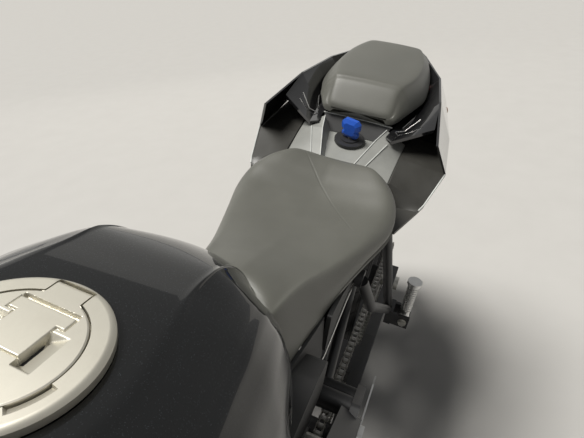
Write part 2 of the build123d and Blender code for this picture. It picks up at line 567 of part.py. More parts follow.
hanger_hole = rod((HANGER_X, BLOCK_HALF - 21, HANGER_Z), (HANGER_X, 140, HANGER_Z), ENGINE_BOLT_R + FIT)
bolt_holes += [hanger_hole, mirrored(hanger_hole)]
sprocket_shaft = Pos(OUTPUT.X, 0, OUTPUT.Z) * sprocket_shaft
nodes["engine"] = fused(case, case_wide, block, head, sump, sprocket_shaft) - bolt_holes
cover_top = leaned_box(262.3, 292, -66, 66, BLOCK_HALF - 6, 14)
plug_at = CRANK + Vector(0, 45, 0)
plug = rod(plug_at + tilt_axis * 290, plug_at + tilt_axis * 299, 16)
nodes["cam_cover"] = fused(cover_top, plug, mirrored(plug))
# name, centre x, centre z, radius, raised radius, depth, side
covers = [
    ("generator_cover", CRANK.X, CRANK.Z, 70, 50, 26, 1),
    ("clutch_cover", 62, 385, 86, 60, 34, -1),
]
for name, x, z, radius, raised, depth, side in covers:
    dome = axial([(0.0, CASE_HALF + 0.3), (radius, CASE_HALF + 0.3), (radius, CASE_HALF + depth * 0.55),
                  (radius - 8, CASE_HALF + depth * 0.75), (raised, CASE_HALF + depth * 0.75),
                  (raised - 5, CASE_HALF + depth), (0.0, CASE_HALF + depth)])
    dome = dome if side > 0 else mirrored(dome)
    nodes[name] = Pos(x, 0, z) * dome
cover_y = CHAIN_Y + CHAIN_W / 2 + RUN_GAP
sprocket_cover = side_plate([(-128, 372), (-120, 440), (-70, 458), (-20, 450), (-8.5, 440), (-8.5, 350),
                             (-70, 338), (-118, 345)], cover_y, cover_y + 13.5, 5)
nodes["sprocket_cover"] = sprocket_cover - crossbar(*ENGINE_BOLTS[1], 200, 12)
engine_bolts = []
for x, z in ENGINE_BOLTS:
    spacer = rod((x, CASE_NARROW + FIT, z), (x, PLATE_IN - FIT, z), 11)
    engine_bolts.append(fused(headed_bolt(x, z, ENGINE_BOLT_R, PLATE_OUT, 12, 8), spacer, mirrored(spacer)))
nodes["engine_bolts"] = group(*engine_bolts)
hanger_bolt = fused(disc_y(ENGINE_BOLT_R, BLOCK_HALF - 20, BLOCK_HALF + 9),
                    disc_y(11, BLOCK_HALF + 8.1, BLOCK_HALF + 15))
nodes["hanger_bolts"] = Pos(HANGER_X, 0, HANGER_Z) * both(hanger_bolt)

# Intake, radiator and exhaust
intake_tops = []
for side in (1, -1):
    mouth = Vector(leaned(226, -76.3)[0], side * 52, leaned(226, -76.3)[1])
    intake_tops.append(pipe([mouth, mouth - tilt_front * 38, Vector(98, mouth.Y, 725)], 22, 24))
airbox = side_plate([(-24, 700), (150, 704), (160, 742), (150, 776), (20, 776), (-24, 760)], -112, 112, 14)
nodes["airbox"] = fused(airbox, *intake_tops)
RADIATOR_AT = Vector(383, 0, 652)
core = Box(26, 292, 168)
tanks = [Pos(0, side * 154, 0) * fillet(Box(36, 26, 184).edges().filter_by(Axis.Z), 6) for side in (1, -1)]
radiator = Pos(*RADIATOR_AT) * Rot(0, -11, 0) * fused(core, *tanks)


def spar_low(x):
    """The height of the spars' lower edge at x."""
    for (x0, *_, z0, _), (x1, *_, z1, _) in zip(spar_stations, spar_stations[1:]):
        if x0 >= x >= x1:
            return z0 + (z1 - z0) * (x0 - x) / (x0 - x1)


STEM_X = RADIATOR_AT.X - 26
radiator_stem = rod((STEM_X, 74, 722), (STEM_X, 74, spar_low(STEM_X)), 6)
nodes["radiator"] = fused(radiator, radiator_stem, mirrored(radiator_stem))
header_pipes = []
for side in (1, -1):
    port = Vector(leaned(224, 76.4)[0], side * 44, leaned(224, 76.4)[1])
    flange = rod(port, port + tilt_front * 9, 28)
    run = pipe([port, port + tilt_front * 62, Vector(344, side * 42, 400), Vector(316, side * 36, 190),
                Vector(150, side * 30, 188), Vector(110, side * 20 - 4, 188)], 19, [40, 70, 62, 20])
    header_pipes.append(flange + run)
collector = rod((122, -4, 188), (40, -24, 188), 35) + rod((52, -20, 188), (-60, -60, 190), 29)
MUFFLER_START = Vector(-232, -205, 258)
MUFFLER_END = Vector(-560, -212, 372)
MUFFLER_R = 54.0
muffler_run = (MUFFLER_END - MUFFLER_START).normalized()
mid_pipe = pipe([(-20, -46, 190), (-100, -84, 192), MUFFLER_START - muffler_run * 60,
                 MUFFLER_START + muffler_run * 3.7], 26, 45)
nodes["exhaust_pipes"] = fused(header_pipes[0], header_pipes[1], collector, mid_pipe)
nodes["muffler"] = fused(rod(MUFFLER_START + muffler_run * 20, MUFFLER_END, MUFFLER_R),
                         rod(MUFFLER_START + muffler_run * 4, MUFFLER_START + muffler_run * 22, 34),
                         rod(MUFFLER_END, MUFFLER_END + muffler_run * 16, 40))
strap_at = MUFFLER_START + muffler_run * 172
muffler_strap = fused(rod(strap_at - muffler_run * 8, strap_at + muffler_run * 8, MUFFLER_R + 4),
                      rod(strap_at + Vector(0, 6, MUFFLER_R), (-395, -163, 508), 7))
muffler_strap = muffler_strap - rod(MUFFLER_START, MUFFLER_END, MUFFLER_R + SEAT_GAP)

# Tank, filler and seats

tank_stations = [
    # x, floor z, floor half, waist z, waist half, shoulder z, shoulder half, top z, top half
    (310, 848, 72, 905, 90, 950, 82, 978, 50),
    (292, 835.8, 96, 900, 122, 962, 106, 1001.0, 66),
    (230, 818, 104, 895, 148, 962, 120, 996.6, 66),
    (165, 806, 108, 888, 138, 954, 110, 991.4, 62),
    (110, 794, 96, 876, 112, 936, 94, 973, 52),
    (50, 786, 84, 862, 86, 904, 76, 938, 42),
    (-10, 786, 76, 846, 74, 874, 62, 890, 34),
    (-62, 800, 70, 832, 68, 846, 56, 853, 30),
]
CAP = Location((CAP_X, 0, CAP_Z), (0, -CAP_TILT, 0))
tank = loft([section(x, [(y0, z0), (y1, z1), (y2, z2), (y3, z3)], [8, 12, 6, 3])
             for x, z0, y0, z1, y1, z2, y2, z3, y3 in tank_stations], ruled=True)
nodes["tank"] = tank - CAP * upright(NECK_R, -NECK_DEPTH, 20) - CAP * upright(CAP_R + 3, -CAP_THICK, 50)
LID_GAP = 1.0
ring_low, ring_floor = -CAP_THICK + SEAT_GAP, -LID_THICK - SEAT_GAP
ring_face = [(NECK_R, ring_low), (CAP_R, ring_low), (CAP_R, -3.5), (CAP_R - 5.5, 0), (LID_R + LID_GAP, 0),
             (LID_R + LID_GAP, ring_floor), (NECK_R, ring_floor)]
filler_ring = revolve(make_face(Polyline(*[(r, 0, z) for r, z in ring_face], close=True)), axis=Axis.Z)
# The lid turns on a pin behind it: a tab on the lid ends in a knuckle that sits in a notch of the ring
HINGE_X, HINGE_Z = -LID_R - 6.0, -2.6
TAB_HALF = 11.5
PIN_R, KNUCKLE_R = 1.2, 2.5
PLUG_R = 17.0
from_back = (Align.MIN, Align.CENTER, Align.MIN)
lid_tab = Pos(HINGE_X, 0, HINGE_Z) * Box(16, 2 * TAB_HALF, -HINGE_Z, align=from_back)
knuckle = crossbar(HINGE_X, HINGE_Z, TAB_HALF, KNUCKLE_R)
lid = fused(upright(LID_R, -LID_THICK, 0), upright(PLUG_R, ring_floor - 12, -LID_THICK + 1), lid_tab, knuckle)
nodes["filler_lid"] = CAP * (lid - crossbar(HINGE_X, HINGE_Z, TAB_HALF + 2, PIN_R + FIT))
room_at = Pos(HINGE_X - KNUCKLE_R - 1, 0, HINGE_Z - KNUCKLE_R - 0.6)
tab_room = room_at * Box(12, 2 * (TAB_HALF + 0.6), 12, align=from_back)
lid_pin = crossbar(HINGE_X, HINGE_Z, TAB_HALF + 4, PIN_R)
nodes["filler_ring"] = CAP * (filler_ring - tab_room + lid_pin)

rider_stations = [
    # x, base z, base half, side z, side half, edge z, edge half, middle z
    (-67, 806, 60, 822, 70, 838, 58, 842),
    (-110, 782, 66, 804, 87, 828, 72, 831),
    (-180, 756.2, 86, 792, 111, 814, 86, 815),
    (-245, 758.8, 90, 792, 128, 816, 98, 810),
    (-282, 760.8, 88, 806, 127, 838, 102, 820),
    (-312, 770, 82, 818, 114, 850, 90, 834),
    (-336, 787, 64, 828, 90, 851, 70, 842),
    (-353, 812, 34, 834, 48, 845, 36, 844),
]
nodes["rider_seat"] = loft([section(x, [(y0, z0), (y1, z1), (y2, z2), (0, z3)], [8, 14, 8, 0])
                            for x, z0, y0, z1, y1, z2, y2, z3 in rider_stations], ruled=True)
pillion_stations = [
    # x, base z, base half, side z, side half, edge z, edge half
    (-474, 872, 58, 884, 66, 892, 58),
    (-505, 868, 70, 896, 84, 934, 60),
    (-578, 872, 84, 904, 104, 942, 78),
    (-660, 886, 78, 920, 98, 951, 78),
    (-730, 904, 60, 934, 80, 958, 62),
    (-758, 918, 44, 938, 62, 952, 46),
]
nodes["pillion_pad"] = loft([section(x, [(y0, z0), (y1, z1), (y2, z2)], [3, 4, 3])
                             for x, z0, y0, z1, y1, z2, y2 in pillion_stations], ruled=True)
pad_base_stations = [
    # x, bottom, top, half width
    (-486, 855, 867.4, 56),
    (-505, 857, 867.6, 66),
    (-578, 866, 871.6, 78),
    (-660, 876, 885.6, 74),
    (-735, 889.5, 904, 54),
]
nodes["pillion_base"] = loft([section(x, [(half * 0.8, low), (half, high)], [2, 1])
                              for x, low, high, half in pad_base_stations], ruled=True)

# Tail: a console with a valley for the seat lock, a shelf on each side of it, and above the shelves a pair of
# wings whose outer walls stand on the shelves' rims, so that air runs through a tunnel on each side
console_stations = [
    # x, floor z, half; outer z, half; crease z, half; ridge z, half; valley z, half
    (-350, 776, 60, 781, 94, 782, 46, 783, 34, 781, 24),
    (-364, 786, 60, 818, 97, 829, 47, 832, 29.5, 824, 21),
    (-425, 800, 58, 838, 98, 858, 72, 861, 50, 838, 38),
    (-466, 806, 56, 848, 100, 860, 76, 868, 60, 842, 46),
    (-480, 808, 56, 844, 98, 850, 76, 853, 60, 849, 50),
    (-520, 812, 50, 846, 57, 854, 52, 858, 46, 856, 40),
    (-700, 838, 44, 866, 52, 876, 46, 880, 42, 878, 36),
    (-790, 868, 34, 886, 44, 896, 38, 900, 34, 898, 28),
]
console = loft([section(x, [(h0, z0), (h1, z1), (h2, z2), (h3, z3), (h4, z4)], [3, 2, 0, 1.5, 0])
                for x, z0, h0, z1, h1, z2, h2, z3, h3, z4, h4 in console_stations], ruled=True)
LOCK_AT = Vector(-441, 0, 841.5)
LOCK_TILT = 8.0
LOCK_R, BARREL_R = 28.0, 13.0
LOCK = Location((LOCK_AT.X, 0, LOCK_AT.Z), (0, LOCK_TILT, 0))


lock_room = upright(LOCK_R + SEAT_GAP, 0, 30) + upright(BARREL_R + FIT, -60, 20)
nodes["tail_console"] = console - LOCK * lock_room
key_slot = Box(3.4, 9, 30)
seat_lock = upright(BARREL_R, -22, 3) + upright(LOCK_R, SEAT_GAP, 5) + upright(17, 4, 7)
nodes["seat_lock"] = LOCK * (seat_lock - key_slot)
KEY_THICK = 12.0
key_blade = Pos(0, 0, -12) * Box(2.6, 8, 24, align=(Align.CENTER, Align.CENTER, Align.MIN))
key_half = [(9, 8), (11, 22), (15, 28), (15, 44), (8, 50)]
key_outline = [(-y, z) for y, z in key_half] + [(y, z) for y, z in reversed(key_half)]
key_plane = Plane(origin=(-KEY_THICK / 2, 0, 0), x_dir=(0, 1, 0), z_dir=(1, 0, 0))
key_head = extrude(key_plane * Polygon(*key_outline, align=None), KEY_THICK)
key_head = chamfer(key_head.faces().filter_by(Axis.X).edges(), 2.5)
nodes["key"] = LOCK * (key_blade + key_head)


def strip(rows, fall, across=0.0):
    """A panel between two edges: rows list (x, y, z) of one edge and of the other, and the panel's thickness
    lies straight down by fall, or inward by across."""
    faces = []
    for row in rows:
        near, far = Vector(*row[:3]), Vector(*row[3:])
        back = Vector(0, -across, -fall)
        faces.append(Face(Wire.make_polygon([near, far, far + back, near + back], close=True)))
    return loft(faces, ruled=True)


WALL = 4.0
PANEL = 6.0
wall_rows = [
    # top edge x, y, z, then bottom edge x, y, z
    (-395, 156, 891, -436, 181, 828.5),
    (-525, 137, 921, -540, 170, 851.9),
    (-652, 119, 929, -665, 140, 886),
    (-776, 68, 939, -776, 74, 922),
]
wing_rows = [
    # inner edge x, y, z, then outer edge x, y, z
    (-428, 76, 865, -459, 141, 893),
    (-500, 86.5, 868, -525, 135.5, 920.5),
    (-578, 89, 870, -592, 126, 924.8),
    (-662, 83, 884, -652, 117.5, 928.5),
    (-736, 66, 902, -714, 92, 933.5),
    (-772, 50, 912, -774, 66.5, 938.5),
]
wing = strip(wing_rows, PANEL)
wing_left = wing + strip(wall_rows, 0, WALL)
shelf_rows = [
    # rim x, y, z, then the edge along the console x, y, z
    (-298, 131, 772, -298, 106, 770),
    (-350, 155, 789, -350, 94.4, 783),
    (-364, 161.5, 795, -364, 97.4, 820),
    (-436, 181, 827, -425, 98.4, 840),
    (-472, 177.2, 835.3, -466, 100.4, 850),
    (-510, 173.2, 844.1, -506, 101, 852),
]
shelf = strip(shelf_rows, PANEL - 1)
nodes["tail_wings"] = both(wing_left)
nodes["tail_sides"] = both(shelf)
shelf_stay = pipe([(-450, 73, 782), (-450, 112, 794), (-450, 112, 841.5)], 5, 10)
wing_stay = pipe([(-640, 64.7, 822), (-640, 94, 834), (-640, 94, 885.5)], 5, 8)
tail_stays = group(shelf_stay - Pos(0, 0, -SEAT_GAP) * shelf, wing_stay - Pos(0, 0, -SEAT_GAP) * wing)
nodes["frame"] = fused(nodes["frame"], *tail_stays.solids(), *mirrored(tail_stays).solids())

# Panels, lamps and rear guard
cover = side_plate([(-66, 782), (-70, 712), (-150, 736), (-310, 740), (-318, 752), (-290, 759), (-160, 760),
                    (-112, 778)], 80 + RAIL_R + 0.2, 98, 3)
nodes["side_covers"] = both(cover - rod((-196, 80, 744), (-196, 110, 744), 10))
nodes["battery_box"] = side_plate([(-250, 640), (-118, 640), (-118, 704), (-250, 704)], -60, 60, 8)
TAIL_END = console_stations[-1][0]
nodes["tail_lamp"] = side_plate([(TAIL_END - 0.4, 872), (TAIL_END - 0.4, 903), (TAIL_END - 22, 912),
                                 (TAIL_END - 38, 900), (TAIL_END - 30, 876)], -34, 34, 4)
PLATE_X = REAR_AXLE.X - 189.3
nodes["rear_guard"] = side_plate([(-560, 796), (-560, 802), (-700, 818.9), (-784, 842), (PLATE_X + 14.3, 690),
                                  (PLATE_X + 18.3, 684), (-782, 832), (-700, 812.6)], -52, 52)
number_plate = fillet(Box(3, 190, 130).edges().filter_by(Axis.X), 8)
nodes["number_plate"] = Pos(PLATE_X, 0, 640) * Rot(0, 14, 0) * number_plate
indicator = fused(rod((-800, 52.6, 800), (-800, 128, 806), 7), rod((-782, 128, 806), (-826, 134, 808), 15))
nodes["rear_indicators"] = both(indicator)
front_at = Vector(HEAD_X + 112, 0, LAMP_Z + 2)
front_indicator = fused(rod(front_at + Vector(0, 84.3, 0), front_at + Vector(0, 172, 0), 6),
                        rod(front_at + Vector(18, 170, 0), front_at + Vector(-24, 173, 0), 15))
nodes["front_indicators"] = both(front_indicator - lamp_body(0.6))

# Rear brake: the caliper rides on a plate round the axle
rear_caliper = Pos(*REAR_AXLE) * Rot(0, 58, 0) * mirrored(caliper(-REAR_DISC_Y, REAR_DISC_R, 0.0))
caliper_plate = side_plate([(-24, -24), (24, -24), (30, 60), (34, 128), (-34, 128), (-30, 60)], -116, -105, 8)
nodes["rear_caliper"] = rear_caliper
nodes["caliper_plate"] = Pos(*REAR_AXLE) * Rot(0, 58, 0) * (caliper_plate - disc_y(AXLE_R + FIT, -130, -90))

# Rider's rests and pedals
REST_AT = Vector(-176, 172, 345)
rest_plate = side_plate([(-112, 532), (-90, 532), (-84, 500), (-140, 330), (-196, 318), (-212, 345),
                         (-150, 372), (-118, 490)], PLATE_OUT + 8.3, PLATE_OUT + 16, 6)
spacers = [rod((x, PLATE_OUT + 0.2, z), (x, PLATE_OUT + 9, z), 9) for x, z in ((-101, 518), (-176, 345))]
rest = fused(rest_plate, *spacers, rod(REST_AT + Vector(0, 4, 0), REST_AT + Vector(-4, 92, 10), 11))
heel_guard = side_plate([(-196, 330), (-212, 345), (-262, 470), (-232, 478), (-150, 400), (-150, 372)],
                        PLATE_OUT + 9, PLATE_OUT + 12, 6)
nodes["rider_rests"] = both(fused(rest, heel_guard))
gear_pedal = fused(pipe([(-150, 188, 346), (10, 190, 322), (30, 190, 326)], 6, 8),
                   rod((26, 186, 326), (26, 240, 330), 9), rod((-150, 178.2, 346), (-150, 200, 346), 11))
brake_pedal = fused(pipe([(-150, -190, 346), (-20, -200, 292), (42, -204, 318)], 6.5, 20),
                    rod((42, -196, 318), (42, -236, 320), 9), rod((-150, -200, 346), (-150, -178.2, 346), 12))
nodes["foot_pedals"] = group(gear_pedal, brake_pedal)

# Passenger hangers and folding rests: a rest folds up beside its hanger, and down to point straight out
clevis_root = PEG_PIVOT + Vector(0, -27, 0)
cheeks = [Pos(PEG_PIVOT.X + side * 16.5, PEG_PIVOT.Y - 9, PEG_PIVOT.Z) * Box(7, 42, 28) for side in (1, -1)]
clevis = Pos(clevis_root.X, clevis_root.Y - 2, clevis_root.Z) * Box(40, 14, 34)
PEG_PIN_R = 4.0
peg_pin = rod(PEG_PIVOT - Vector(23, 0, 0), PEG_PIVOT + Vector(23, 0, 0), PEG_PIN_R)
(front_x, _, front_z), (back_x, _, back_z) = HANGER_BOLTS
arm_y = HANGER_FACE + 10
eyes = [rod((x, HANGER_FACE + 0.2, z), (x, HANGER_FACE + 11, z), 14) for x, _, z in HANGER_BOLTS]
front_arm = [(front_x, arm_y, front_z - 4), (-226, 130, 668), clevis_root + Vector(4, -8, 6)]
back_arm = [(back_x, arm_y, back_z - 4), (-360, 122, 700), clevis_root + Vector(2, -8, 10)]
hanger_left = fused(pipe(front_arm, 9, 20), pipe(back_arm, 9, 20), *eyes, clevis, *cheeks, peg_pin)
nodes["passenger_hangers"] = group(hanger_left, mirrored(hanger_left) + muffler_strap)
peg_eye = rod(PEG_PIVOT - Vector(12, 0, 0), PEG_PIVOT + Vector(12, 0, 0), 10.5)
peg_body = rod(PEG_PIVOT + Vector(0, 0, 6), PEG_PIVOT + Vector(0, 0, PEG_LENGTH), PEG_R)
peg_cap = rod(PEG_PIVOT + Vector(0, 0, PEG_LENGTH - 7), PEG_PIVOT + Vector(0, 0, PEG_LENGTH), PEG_R + 3)
peg_bore = rod(PEG_PIVOT - Vector(30, 0, 0), PEG_PIVOT + Vector(30, 0, 0), PEG_PIN_R + FIT)
peg = fused(peg_eye, peg_body, peg_cap) - peg_bore
nodes["passenger_peg_left"] = peg
nodes["passenger_peg_right"] = mirrored(peg)

# Parking: the whole machine leans about the X axis and is set down on its tyres and its stand's foot
LEANED = Location((0, 0, 0), (-LEAN, 0, 0))
LIFT = -(LEANED * nodes["rear_tyre"]).bounding_box().min.Z
SET_DOWN = Location((0, 0, LIFT)) * LEANED
foot = SET_DOWN.inverse() * Location((STAND_FOOT_PARKED.X, STAND_FOOT_PARKED.Y, STAND_FOOT_PARKED.Z))
foot_at = foot.position
leg_run = (foot_at - STAND_PIVOT).normalized()
foot_plate = foot * Pos(0, 0, 3) * fillet(Box(76, 46, 6).edges().filter_by(Axis.Z), 12)
stand_eye = rod(STAND_PIVOT - stand_axis * 12, STAND_PIVOT + stand_axis * 12, 15)
stand_leg = rod(STAND_PIVOT + leg_run * 4, foot_at - leg_run * 4 + Vector(0, 0, 2), STAND_R)
stand_bore = rod(STAND_PIVOT - stand_axis * 40, STAND_PIVOT + stand_axis * 40, STAND_PIN_R + FIT)
nodes["side_stand"] = fused(stand_eye, stand_leg, foot_plate) - stand_bore

# Pieces that share a body and a finish are one node
joined = {
    "fixings": ("engine_bolts", "swingarm_bolt", "shock_bolt", "hanger_bolts"),
    "engine_covers": ("cam_cover", "generator_cover", "clutch_cover", "sprocket_cover"),
    "rear_guard": ("rear_guard", "pillion_base", "battery_box"),
    "yokes": ("yokes", "bar_clamps"),
    "rear_caliper": ("rear_caliper", "caliper_plate"),
    "rider_rests": ("rider_rests", "foot_pedals"),
}
for name, members in joined.items():
    nodes[name] = group(*[nodes.pop(member) for member in members])

boxes = [(SET_DOWN * solid).bounding_box() for shape in nodes.values() for solid in shape.solids()]
CENTRE_X = (min(b.min.X for b in boxes) + max(b.max.X for b in boxes)) / 2
CENTRE_Y = (min(b.min.Y for b in boxes) + max(b.max.Y for b in boxes)) / 2
PARK = Location((-CENTRE_X, -CENTRE_Y, 0)) * SET_DOWN
for name, shape in nodes.items():
    solids = [PARK * solid for solid in shape.solids()]
    export_step(solids[0] if len(solids) == 1 else Compound(children=solids), f"parts/{name}.step")
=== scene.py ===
"""Looks for the parked road motorcycle.

Shapes and drawn patterns are in millimetres on the upright machine. Texture scales, bump depths, lights
and the floor are in metres as parked.
"""
import json
import math

import bmesh
import bpy
from mathutils import Matrix, Vector


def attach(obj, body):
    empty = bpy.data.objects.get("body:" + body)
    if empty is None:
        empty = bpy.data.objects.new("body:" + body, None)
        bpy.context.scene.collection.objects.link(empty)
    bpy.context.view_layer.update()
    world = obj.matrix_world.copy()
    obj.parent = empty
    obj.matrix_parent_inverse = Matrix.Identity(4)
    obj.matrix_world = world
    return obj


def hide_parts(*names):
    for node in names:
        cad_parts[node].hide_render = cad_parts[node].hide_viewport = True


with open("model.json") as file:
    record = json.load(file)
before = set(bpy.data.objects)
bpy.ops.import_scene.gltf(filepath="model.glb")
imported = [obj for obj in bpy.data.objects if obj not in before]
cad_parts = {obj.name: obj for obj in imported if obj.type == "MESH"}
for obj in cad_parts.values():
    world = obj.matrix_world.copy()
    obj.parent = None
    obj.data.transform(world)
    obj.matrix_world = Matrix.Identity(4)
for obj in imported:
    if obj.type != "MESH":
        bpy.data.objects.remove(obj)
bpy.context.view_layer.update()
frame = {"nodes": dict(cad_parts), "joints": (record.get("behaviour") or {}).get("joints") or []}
MM, TO_MM = 0.001, 1000.0
LEAN, RAKE = 10.0, 25.0
REAR_AXLE = Vector((-725, 0, 315))
FRONT_AXLE = Vector((725, 0, 300))
SIDES = (1, -1)
turn = Matrix.Rotation(math.radians(-LEAN), 4, "X")
rear_at = Vector(next(j["pos_m"] for j in frame["joints"] if j["name"] == "rear_wheel_spin"))
PARK = Matrix.Translation(rear_at - turn @ (REAR_AXLE * MM)) @ turn @ Matrix.Scale(MM, 4)
FORK = Matrix.Translation(FRONT_AXLE) @ Matrix.Rotation(math.radians(-RAKE), 4, "Y")


# Materials: sockets that add, multiply and compare as plain values do

class Socket:
    """A shader value. Arithmetic on it makes Math nodes."""

    def __init__(self, look, socket):
        self.look, self.socket = look, socket

    def math(self, operation, *values):
        node = self.look.node("Math", {"operation": operation}, *values)
        return node.out()

    def __add__(self, other):
        return self.math("ADD", self, other)

    def __sub__(self, other):
        return self.math("SUBTRACT", self, other)

    def __rsub__(self, other):
        return self.math("SUBTRACT", other, self)

    def __mul__(self, other):
        return self.math("MULTIPLY", self, other)

    def __truediv__(self, other):
        return self.math("DIVIDE", self, other)

    def __gt__(self, other):
        return self.math("GREATER_THAN", self, other)

    def __lt__(self, other):
        return self.math("LESS_THAN", self, other)

    def __abs__(self):
        return self.math("ABSOLUTE", self)

    def __pow__(self, other):
        return self.math("POWER", self, other)

    def __mod__(self, other):
        return self.math("FLOORED_MODULO", self, other)

    __radd__, __rmul__ = __add__, __mul__

    def clamp(self):
        return self.math("MINIMUM", self.math("MAXIMUM", self, 0.0), 1.0)

    def ramp(self, low, high):
        """The value taken from low..high to 0..1 along a smooth curve, held at the ends."""
        settings = {"clamp": True, "interpolation_type": "SMOOTHSTEP"}
        return self.look.node("MapRange", settings, self, low, high).out()


class Node:
    """A shader node whose outputs are taken as values."""

    def __init__(self, look, node):
        self.look, self.node = look, node

    def out(self, name=0):
        return Socket(self.look, self.node.outputs[name])


class Look:
    """A material built from nodes, with the Principled shader's own sockets set from keywords."""

    def __init__(self, name, **constants):
        self.material = bpy.data.materials.new(name)
        self.material.use_nodes = True
        self.tree = self.material.node_tree
        self.shader = self.tree.nodes["Principled BSDF"]
        for socket, value in constants.items():
            self.shader.inputs[socket.replace("_", " ")].default_value = value

    def node(self, kind, settings=None, *values, **named):
        """Adds a node. Settings are its properties, and values and named are its inputs."""
        made = self.tree.nodes.new("ShaderNode" + kind)
        for key, value in (settings or {}).items():
            setattr(made, key, value)
        for key, value in [*enumerate(values), *named.items()]:
            socket = made.inputs[key]
            if isinstance(value, Socket):
                self.tree.links.new(value.socket, socket)
            elif value is not None:
                socket.default_value = value
        return Node(self, made)

    def place(self):
        """The point in metres in the piece's own frame."""
        return self.node("TexCoord").out("Object")

    def split(self, vector=None):
        parts = self.node("SeparateXYZ", None, vector or self.place())
        return parts.out("X"), parts.out("Y"), parts.out("Z")

    def upright(self):
        """The point in millimetres in the upright machine's own frame, split."""
        origin = tuple(PARK.translation)
        moved = self.node("VectorMath", {"operation": "SUBTRACT"}, self.place(), origin).out()
        level = self.node("VectorRotate", {"rotation_type": "AXIS_ANGLE"}, moved, (0, 0, 0), (1, 0, 0),
                          math.radians(LEAN)).out()
        return self.split(self.node("VectorMath", {"operation": "MULTIPLY"}, level, (TO_MM,) * 3).out())

    def to_line(self, x, y, start, end):
        """The distance in a plane from a straight line between two points."""
        run = Vector(end) - Vector(start)
        dx, dy = x - start[0], y - start[1]
        along = ((dx * run.x + dy * run.y) / run.length_squared).clamp()
        return ((dx - along * run.x) ** 2.0 + (dy - along * run.y) ** 2.0) ** 0.5

    def noise(self, scale, detail=3.0, rough=0.55, vector=None):
        return self.node("TexNoise", None, Vector=vector or self.place(), Scale=scale, Detail=detail,
                         Roughness=rough).out("Fac")

    def cells(self, scale):
        return self.node("TexVoronoi", None, Vector=self.place(), Scale=scale)

    def mix(self, factor, low, high):
        """A colour between low and high."""
        made = self.tree.nodes.new("ShaderNodeMix")
        made.data_type = "RGBA"
        for index, value in ((0, factor), (6, low), (7, high)):
            if isinstance(value, Socket):
                self.tree.links.new(value.socket, made.inputs[index])
            else:
                made.inputs[index].default_value = value
        return Socket(self, made.outputs[2])

    def stretched(self, x, y, z):
        """The point with each axis scaled, for textures that run in lines."""
        return self.node("VectorMath", {"operation": "MULTIPLY"}, self.place(), (x, y, z)).out()

    def set(self, socket, value):
        self.tree.links.new(value.socket, self.shader.inputs[socket])

    def bump(self, height, strength, depth):
        made = self.node("Bump", None, Strength=strength, Distance=depth, Height=height)
        self.set("Normal", made.out("Normal"))


def rgb(r, g, b):
    return (r, g, b, 1.0)


def painted(name, colour, roughness, grain=900.0, relief=0.00002):
    """Satin paint over metal: faint orange peel, dust in the roughness and slightly paler patches."""
    look = Look(name)
    dust = look.noise(14.0, 5.0, 0.6)
    fine = look.noise(grain, 2.0)
    paler = rgb(*(min(1.0, c * 1.5 + 0.012) for c in colour))
    look.set("Base Color", look.mix(dust * 0.5, rgb(*colour), paler))
    look.set("Roughness", (dust - 0.5) * 0.16 + roughness + (fine - 0.5) * 0.04)
    look.bump(fine, 0.25, relief)
    return look.material


def metal(name, colour, roughness, grain=(900.0, 60.0, 60.0), scratch=0.10):
    """Bare metal with fine lines along one axis, and smudges."""
    look = Look(name, Metallic=1.0)
    lines = look.noise(1.0, 3.0, 0.6, look.stretched(*grain))
    smudge = look.noise(22.0, 4.0, 0.6)
    dull = rgb(*(c * 0.78 for c in colour))
    look.set("Base Color", look.mix(smudge.ramp(0.35, 0.75), rgb(*colour), dull))
    look.set("Roughness", (lines - 0.5) * scratch * 2 + roughness + (smudge - 0.5) * 0.1)
    look.bump(lines, 0.12, 0.00002)
    return look.material


def plastic(name, colour, roughness, grain=1500.0, relief=0.00006, coat=0.0):
    """Moulded plastic with a spark-eroded grain."""
    look = Look(name, Coat_Weight=coat, Coat_Roughness=0.08)
    grains = look.noise(grain, 2.0, 0.5)
    broad = look.noise(11.0, 4.0, 0.6)
    paler = rgb(*(min(1.0, c * 1.35 + 0.008) for c in colour))
    look.set("Base Color", look.mix(broad.ramp(0.3, 0.8), rgb(*colour), paler))
    look.set("Roughness", (broad - 0.5) * 0.14 + roughness)
    look.bump(grains, 0.5, relief)
    return look.material


def make_tank_paint():
    """Gloss black with a fine metal flake under a clear coat."""
    look = Look("tank_black", Roughness=0.4, Coat_Weight=1.0, Coat_Roughness=0.02, IOR=1.45,
                Specular_IOR_Level=0.1)
    spark = look.split(look.cells(2600.0).out("Color"))[0]
    flakes = (spark > 0.97) * look.noise(300.0)
    look.set("Base Color", look.mix(flakes, rgb(0.003, 0.0034, 0.0038), rgb(0.03, 0.035, 0.04)))
    peel = look.noise(420.0, 2.0)
    look.bump(peel, 0.10, 0.00002)
    return look.material


FOLD_START, FOLD_END = (-344, -52), (-205, 77)


def make_vinyl():
    """Seat vinyl: fine pebbles, a satin sheen, uneven polish and one shallow fold across the seat."""
    look = Look("seat_vinyl", Sheen_Weight=0.08, Sheen_Roughness=0.5, IOR=1.5)
    pebbles = look.cells(900.0).out("Distance")
    fine = look.noise(2400.0, 2.0)
    broad = look.noise(9.0, 4.0, 0.6)
    plain, paler = rgb(0.098, 0.098, 0.084), rgb(0.118, 0.118, 0.102)
    look.set("Base Color", look.mix(broad.ramp(0.3, 0.75), plain, paler))
    look.set("Roughness", (broad - 0.5) * 0.16 + 0.44 + (fine - 0.5) * 0.08)
    x, y, _ = look.upright()
    fold = look.to_line(x, y, FOLD_START, FOLD_END).ramp(0.0, 2.4) * 0.6
    look.bump(pebbles * 0.35 + fine * 0.14 + fold, 1.0, 0.00034)
    return look.material


